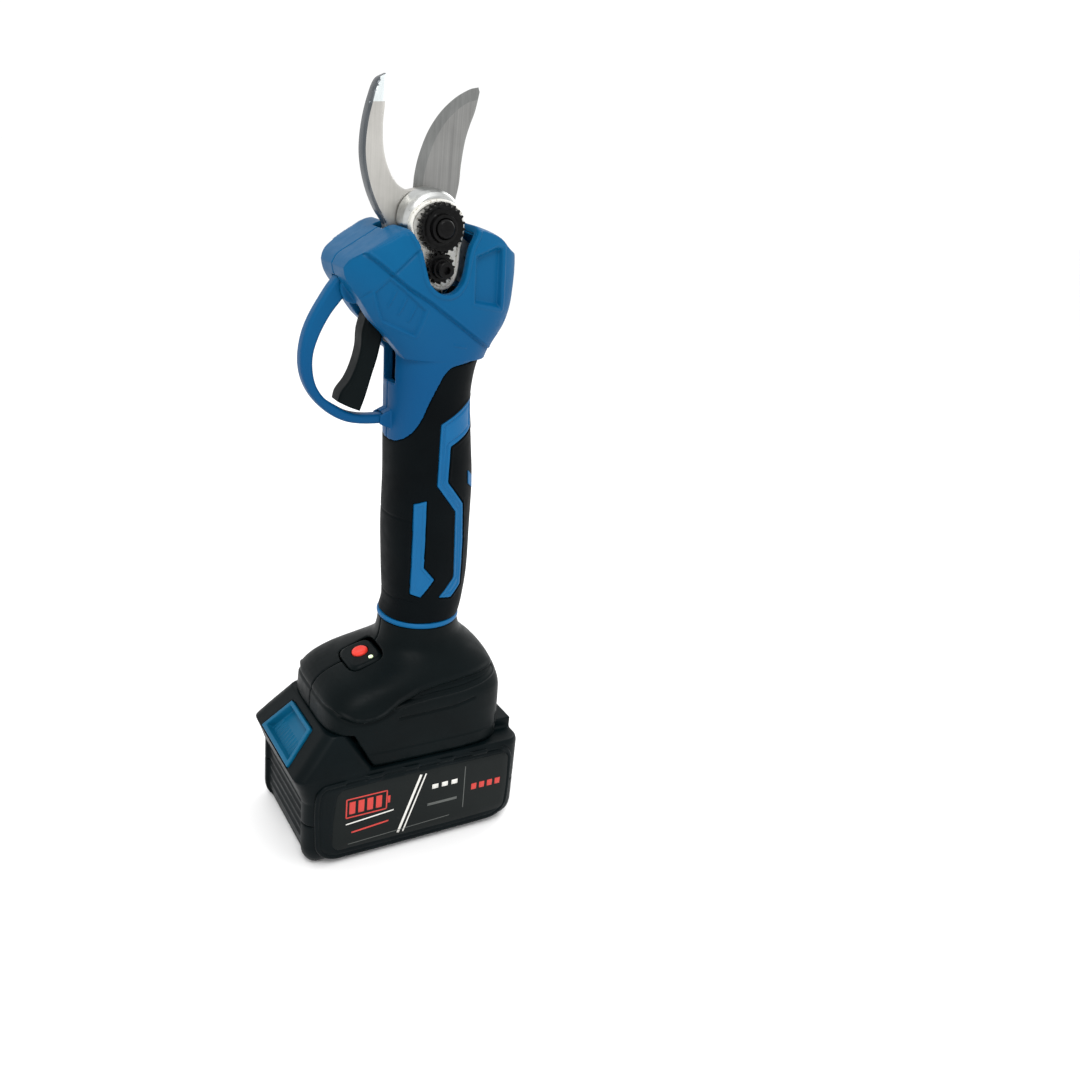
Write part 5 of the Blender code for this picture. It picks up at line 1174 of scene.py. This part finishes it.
def base():
    for name, sign in (("base_left", -1), ("base_right", 1)):
        lo, hi = sorted((0.1 * sign, 60 * sign))
        body = base_solid("body", 0.0, 49.7, 113.0)
        inside = base_solid("inside", 2.6, 65.4, 113.0)
        body = combine(
            body, ("-", inside), ("-", rod("neck", 17.0, (0.1, 0, 104), (0.1, 0, 130), 72)),
            ("-", loft("rail", [[(x, y, z) for y, z in RAIL] for x in (-80, 36.6)])),
            ("-", box("lip", (30, -24.5, 40), (60, 24.5, 55.8))),
            ("-", prism("nose_room", [(-90, 30), (-90, 68.6), (-43.7, 68.6), (-33.6, 49.6), (-33.6, 30)], -60, 60)),
            ("-", box("terminal", (-18, -17, 60), (16, 17, 68))),
            ("-", loft("pod_seat", [pod_ring(9.35, 11.35, -9), pod_ring(9.35, 11.35, 12)])),
            *[("+", rod("boss", 3.2, (x, -31.6, 76.2), (x, 31.6, 76.2), 32)) for x in (26.0, -39.0)],
            *[("-", rod("shank", 1.8, (x, -24, 76.2), (x, 25, 76.2), 24)) for x in (26.0, -39.0)],
            *[("-", rod("head_room", 3.0, (x, 24.0, 76.2), (x, 60, 76.2), 40)) for x in (26.0, -39.0)],
            ("&", box("half", (-90, lo, 30), (90, hi, 140))),
        )
        moulded(body, 0.48, 7)
        co, no = points_of(body)
        side = step(np.abs(no[:, 1]), 0.15, 0.5) * (np.sign(no[:, 1]) == sign) * step(np.abs(co[:, 1]), 15, 20)
        # outside skin only
        p = co[:, [0, 2]]
        ridge = side_of(p, RIDGE)
        groove = edge_distance(p, GROOVE, closed=False)
        thin = edge_distance(p, THIN, closed=False)
        lift = 1.15 * np.exp(-((ridge - 0.3) / 0.95) ** 2) + 0.5 * step(ridge, -0.5, 0.5) * step(16 - ridge, 0, 14)
        lift -= 0.8 * np.exp(-((ridge + 1.7) / 0.8) ** 2)
        lift -= 0.9 * np.exp(-(groove / 0.65) ** 2) + 0.75 * np.exp(-(thin / 0.5) ** 2)
        lift += 0.7 * np.exp(-((groove - 1.5) / 0.7) ** 2) * (side_of(p, GROOVE) < 0) * step(-ridge, 0.5, 1.5)
        # lower skirt: a slightly proud band above the battery
        lift += 0.35 * step(57.5 - p[:, 1], 0, 0.6) * (np.abs(co[:, 1]) > 30)
        side *= step(co[:, 2], 50.2, 51.5)
        co[:, 1] += sign * lift * side
        # front face: a framed step under the slope
        ahead = step(-no[:, 0], 0.6, 0.85) * (co[:, 0] < -45)
        co[:, 0] += 0.6 * np.exp(-((co[:, 2] - 79.5) / 0.8) ** 2) * ahead
        put_points(body, co)
        body.name = name
        finish(body, "tool_body", BLACK, (name,), angle=None)


base()


def pod():
    """Angular raised pod with the power button and its lamp."""
    up = (pod_frame.to_3x3() @ Vector((0, 0, 1))).normalized()
    button = pod_frame @ Vector((0.4, 1.6, 0))
    lamp = pod_frame @ Vector((3.0, -6.6, 0))
    rings = [pod_ring(9.0, 11.0, z) for z in (-7, 0.6, 1.4)] + [pod_ring(8.8, 10.8, 2.1), pod_ring(8.1, 10.1, 3.0), pod_ring(7.3, 9.3, 3.45)]
    body = loft("pod", rings)
    body = combine(body, ("-", rod("button_hole", 4.4, button - 9 * up, button + 9 * up, 64)),
                   ("-", rod("lamp_hole", 1.5, lamp - 9 * up, lamp + 9 * up, 32)))
    moulded(body, 0.26, 4)
    body.name = "switch_pod"
    finish(body, "tool_body", BLACK, ("switch_pod",), angle=None)
    cap = []
    for r, h in ((4.0, -5.2), (4.0, 3.3), (3.92, 3.75), (3.6, 4.15), (3.0, 4.4), (2.0, 4.32), (1.2, 4.18), (0.5, 4.12), (0.05, 4.1)):
        side = up.orthogonal().normalized()
        other = up.cross(side)
        cap.append([tuple(button + up * h + r * (math.cos(2 * math.pi * i / 64) * side + math.sin(2 * math.pi * i / 64) * other))
                    for i in range(64)])
    key = loft("power_button", cap)
    finish(key, "power_key", RED, ("power_button",))
    dome = []
    for r, h in ((1.2, -5.2), (1.2, 3.3), (1.12, 3.55), (0.85, 3.72), (0.4, 3.8), (0.02, 3.82)):
        dome.append([tuple(lamp + up * h + r * (math.cos(2 * math.pi * i / 40) * side + math.sin(2 * math.pi * i / 40) * other))
                     for i in range(40)])
    finish(loft("led_lens", dome), "tool_body", LENS, ("led_lens",))


pod()


# ------------------------------------------------------------------ battery
def battery_ring(z, inset=0.0):
    return rounded(FX, RX, HW, z, 7.5, inset)


def battery():
    low = loft("low", [battery_ring(z, inset) for z, inset in ((0, 7.0), (0.6, 5.2), (1.6, 3.6), (3.2, 2.1), (5.4, 0.9), (7.8, 0.25), (10, 0), (MID - 0.12, 0))])
    def recess():
        return loft("recess", [[(FX - 10, -w - 4, z), (FX + d, -w, z), (FX + d, w, z), (FX - 10, w + 4, z)]
                               for w, d, z in ((26.5, 3.4, -2), (26.5, 3.4, 5.4), (27.2, 2.3, 6.6), (27.2, 2.3, 40.4), (26.4, -0.4, 42.6))])

    low = combine(low, ("-", recess()), ("-", box("room", (FX + 9.0, -33.6, 2.6), (RX - 3.2, 33.6, 40))))
    high = loft("high", [battery_ring(MID + 0.12), battery_ring(46.6), battery_ring(48.8, 0.7), battery_ring(TOP, 1.6)])
    section = [(-24, 45.5), (24, 45.5), (24, 55.1), (27.7, 55.1), (27.7, 61.8), (-27.7, 61.8), (-27.7, 55.1), (-24, 55.1)]
    nose = loft("nose", [rounded(x0, x1, h, z, r) for z, x0, x1, h, r in NOSE])
    slope_a, slope_b = Vector((-73.0, 0, 49.8)), Vector((-56.2, 0, 68.2))
    along = (slope_b - slope_a).normalized()
    out = Vector((-along.z, 0, along.x))

    def at(u, y, n):
        return tuple(slope_a + along * u + out * n + Vector((0, y, 0)))

    def wedge(name, u0, u1, w0, w1, n0, n1, grow=0.0):
        return loft(name, [[at(u0 - g, -w0 - g, n), at(u1 + g, -w1 - g, n), at(u1 + g, w1 + g, n), at(u0 - g, w0 + g, n)]
                           for n, g in ((n0, 0), (n1, grow))])

    high = combine(
        high, ("-", recess()), ("+", nose), ("+", loft("rail", [[(x, y, z) for y, z in section] for x in (-44.0, 36.2)])),
        ("+", box("lip", (30, -23.7, 45.7), (47.4, 23.7, 54.8))),
        ("-", box("room", (FX + 9.0, -33.6, 10), (RX - 3.2, 33.6, 46.8))),
        *[("-", box("slot", (-10, y - 1.3, 55.6), (60, y + 1.3, 70))) for y in (-11, 11)],
        ("-", wedge("pocket", 0.6, 21.4, 20.6, 14.6, -14.5, 8)),
    )
    for body, name, material_slot in ((low, "battery_case_lower", None), (high, "battery_case_upper", None)):
        moulded(body, 0.5, 6)
        co, no = points_of(body)
        # front: a recessed panel with ribs, between two corner columns
        ahead = step(-no[:, 0], 0.75, 0.92) * (co[:, 0] < -60) * (co[:, 2] < 43)
        y, z = np.abs(co[:, 1]), co[:, 2]
        ribs = 0.8 * step(np.sin(z * 2 * math.pi / 5.0) + 0.15, 0, 0.9) * step(25.6 - y, 0, 0.8) * step(z, 8, 9) * step(38 - z, 0, 1)
        co[:, 0] -= ahead * ribs
        # rear: two shallow vent bands
        behind = step(no[:, 0], 0.8, 0.95) * (co[:, 0] > 44)
        co[:, 0] -= behind * 0.5 * step(np.sin(z * 2 * math.pi / 4.4), 0.2, 0.6) * step(22 - y, 0, 1) * step(z, 12, 13) * step(38 - z, 0, 1)
        put_points(body, co)
        body.name = name
        finish(body, "battery", BATTERY, (name,), angle=None)

    # side panels with their notched upper edge, over the joint between the two halves
    outline = [(-63.6, 42.0), (-63.6, 14.6), (-62.6, 10.2), (-59.8, 6.4), (-55.8, 4.0), (-51.4, 3.2), (31.0, 3.2), (35.6, 4.1), (39.4, 6.6),
               (41.9, 10.4), (42.6, 14.6), (42.6, 38.0), (41.9, 41.6), (40.0, 44.6), (37.4, 46.5), (34.0, 47.2), (-58.5, 47.2)]
    line = resample(outline, 1.0, corner=10, sharp=())
    for side, tag in ((-1, "left"), (1, "right")):
        inner, outer = side * 35.4, side * 37.5

        def face(x, z, d, side=side):
            notch = np.zeros(len(x))
            for x0, x1 in ((-49, -38), (-30, -19), (-11, 0), (8, 19), (27, 36)):
                notch = np.maximum(notch, step(x, x0, x0 + 0.5) * step(x1 - x, 0, 0.5))
            label = depth_in(np.stack([x, z], axis=1), LABEL_ROOM)
            return 0.9 * notch * step(z, 44.6, 45.0) + 0.26 * step(label, -0.1, 0.25) + \
                0.45 * np.exp(-((d - 2.3) / 0.4) ** 2)

        panel = flat_piece("panel", line, inner, outer, near=face if side < 0 else None, far=face if side > 0 else None,
                           grid=1.0, edge=1.0, spacing=1.0, offsets=(1.6, 2.0, 2.3, 2.6, 3.0))
        panel.name = "battery_side_panel_" + tag
        finish(panel, "battery", BATTERY, angle=None)

    # the release: a framed key with a deep scoop, ridged on its lower half
    key = wedge("key", 1.0, 21.0, 20.1, 14.1, -8.0, 0.9)
    scoop = wedge("scoop", 3.8, 18.6, 16.6, 11.8, -3.2, 3.0, 0.9)
    key = combine(key, ("-", scoop))
    moulded(key, 0.3, 4)
    co, no = points_of(key)
    rel = co - np.array(slope_a)
    u, n = rel @ np.array(along), rel @ np.array(out)
    floor = step(no @ np.array(out), 0.8, 0.95) * (n < -1.6) * (np.abs(co[:, 1]) < 15.8) * step(11.5 - u, 0, 1.0)
    lift = 0.5 * np.clip(np.sin(co[:, 1] * 2 * math.pi / 2.6), 0, 1) * floor
    co += lift[:, None] * np.array(out)[None]
    put_points(key, co)
    key.name = "battery_release_button"
    finish(key, "release_key", BLUE_KEY, ("battery_release_button",), angle=None)


LABEL_BOX = [(-52, 8.4), (37, 8.4), (40, 11.4), (40, 40.0), (37.6, 43.0), (-50, 43.0), (-53.4, 39.8), (-55, 12)]
LABEL_ROOM = resample(shrink(LABEL_BOX, -0.25), 1.0, corner=50)
battery()


def labels():
    """Film labels with plain lines, slanted bars and a charge pictogram; there is no lettering."""
    for side, tag in ((-1, "left"), (1, "right")):
        inner, outer = side * 37.18, side * 37.42
        film = flat_piece("film", LABEL_BOX, inner, outer, grid=4.0, edge=0.08, spacing=1.2)
        film.name = "battery_label_" + tag
        finish(film, "battery", LABEL, ("battery_label_" + tag,), angle=None)
        flip = 1 if side < 0 else -1
        middle = -7.5

        def put(name, outline, material):
            shape = [(middle + flip * (x - middle), z) for x, z in outline]
            mark = flat_piece(name, shape, side * 37.38, side * 37.47, grid=3.0, edge=0.03, spacing=2.0)
            mark.name = f"label_{name}_{tag}"
            finish(mark, "battery", material, angle=None)

        def bar(x0, z0, x1, z1, wide):
            d = np.array([x1 - x0, z1 - z0], float)
            n = np.array([-d[1], d[0]]) / np.linalg.norm(d) * wide / 2
            return [(x0 + n[0], z0 + n[1]), (x0 - n[0], z0 - n[1]), (x1 - n[0], z1 - n[1]), (x1 + n[0], z1 + n[1])]

        put("slant_a", bar(-20.6, 9.8, -9.6, 41.6, 1.35), PRINT_WHITE)
        put("slant_b", bar(-17.9, 9.8, -6.9, 41.6, 0.8), PRINT_WHITE)
        put("divider", bar(15.6, 15.0, 15.2, 40.2, 0.45), PRINT_GREY)
        put("rule", bar(-47, 10.6, 8, 12.4, 0.4), PRINT_GREY)
        put("line_white", bar(-48.5, 22.6, -23.5, 24.6, 0.7), PRINT_WHITE)
        put("line_red", bar(-45.5, 17.2, -26.0, 18.8, 0.9), PRINT_RED)
        # charge pictogram: an outlined cell with filled bars
        for k in range(4):
            put(f"charge_{k}", bar(-45.5 + 4.6 * k, 28.2, -45.5 + 4.6 * k, 35.2, 3.1), PRINT_RED)
        put("charge_base", bar(-48.6, 26.4, -27.6, 26.4, 0.7), PRINT_RED)
        put("charge_top", bar(-48.6, 37.0, -27.6, 37.0, 0.7), PRINT_RED)
        put("charge_end_a", bar(-48.5, 26.4, -48.5, 37.0, 0.7), PRINT_RED)
        put("charge_end_b", bar(-27.6, 26.4, -27.6, 37.0, 0.7), PRINT_RED)
        put("charge_tip", bar(-26.4, 29.6, -26.4, 33.8, 1.3), PRINT_RED)
        for k in range(3):
            put(f"dash_{k}", bar(-3.0 + 5.4 * k, 32.6, 0.4 + 5.4 * k, 32.6, 2.6), PRINT_WHITE)
        put("dash_low", bar(-5.0, 22.2, 11.6, 22.2, 1.5), PRINT_GREY)
        for k in range(4):
            put(f"block_{k}", bar(19.6 + 4.6 * k, 26.6, 22.6 + 4.6 * k, 26.6, 3.6), PRINT_RED)


labels()


# ------------------------------------------------------------------ stage
def stage():
    mesh = bpy.data.meshes.new("floor")
    mesh.from_pydata([(-6, -6, 0), (6, -6, 0), (6, 6, 0), (-6, 6, 0)], [], [(0, 1, 2, 3)])
    ground = bpy.data.objects.new("floor", mesh)
    ground.location = (0, 0, -0.0002)
    bpy.context.scene.collection.objects.link(ground)
    pale, nodes, links, shader = node_material("floor_paper")
    place = nodes.new("ShaderNodeTexCoord").outputs["Object"]
    cloud = noise(nodes, links, place, 2.0)
    tone = ramp(nodes, links, cloud.outputs["Fac"], [(0.3, (0.95, 0.95, 0.95)), (0.7, (0.965, 0.965, 0.965))])
    links.new(tone.outputs["Color"], shader.inputs["Base Color"])
    shader.inputs["Roughness"].default_value = 0.9
    shader.inputs["Specular IOR Level"].default_value = 0.1
    mesh.materials.append(pale)

    scene = bpy.context.scene
    scene.view_settings.view_transform = "Standard"
    world = bpy.data.worlds.new("studio")
    scene.world = world
    world.use_nodes = True
    world.node_tree.nodes["Background"].inputs["Color"].default_value = (1, 1, 1, 1)
    world.node_tree.nodes["Background"].inputs["Strength"].default_value = 1.06

    def lamp(name, at, towards, size, power, size_y=None):
        light = bpy.data.lights.new(name, "AREA")
        light.shape = "RECTANGLE"
        light.size, light.size_y = size, size_y or size
        light.energy = power
        obj = bpy.data.objects.new(name, light)
        scene.collection.objects.link(obj)
        obj.location = at
        obj.rotation_euler = (Vector(towards) - Vector(at)).to_track_quat("-Z", "Y").to_euler()
        return obj

    target = (0, 0, 0.18)
    lamp("key", (-0.35, -0.8, 1.25), target, 0.45, 8.5)
    lamp("fill", (1.1, -0.7, 0.55), target, 0.7, 1.0)
    lamp("rim", (0.9, 0.5, 0.8), target, 0.5, 4.0)
    lamp("top", (0.0, -0.1, 1.5), target, 0.9, 2.0)

    a, e, r = math.radians(-32.9), math.radians(21.6), math.radians(6.46)
    back = Vector((math.sin(a) * math.cos(e), -math.cos(a) * math.cos(e), math.sin(e)))
    right = Vector((math.cos(a), math.sin(a), 0))
    up = back.cross(right)
    across = math.cos(r) * right + math.sin(r) * up
    rise = -math.sin(r) * right + math.cos(r) * up
    lens = bpy.data.cameras.new("camera")
    lens.sensor_width = 36.0
    lens.lens = 36.0 * 1040.7 / 1080.0
    lens.clip_start = 0.01
    camera = bpy.data.objects.new("camera", lens)
    scene.collection.objects.link(camera)
    turn = Matrix((across, rise, back)).transposed().to_4x4()
    camera.matrix_world = Matrix.Translation((-0.20886, -0.42938, 0.34698)) @ turn
    scene.camera = camera


stage()
bpy.context.view_layer.update()
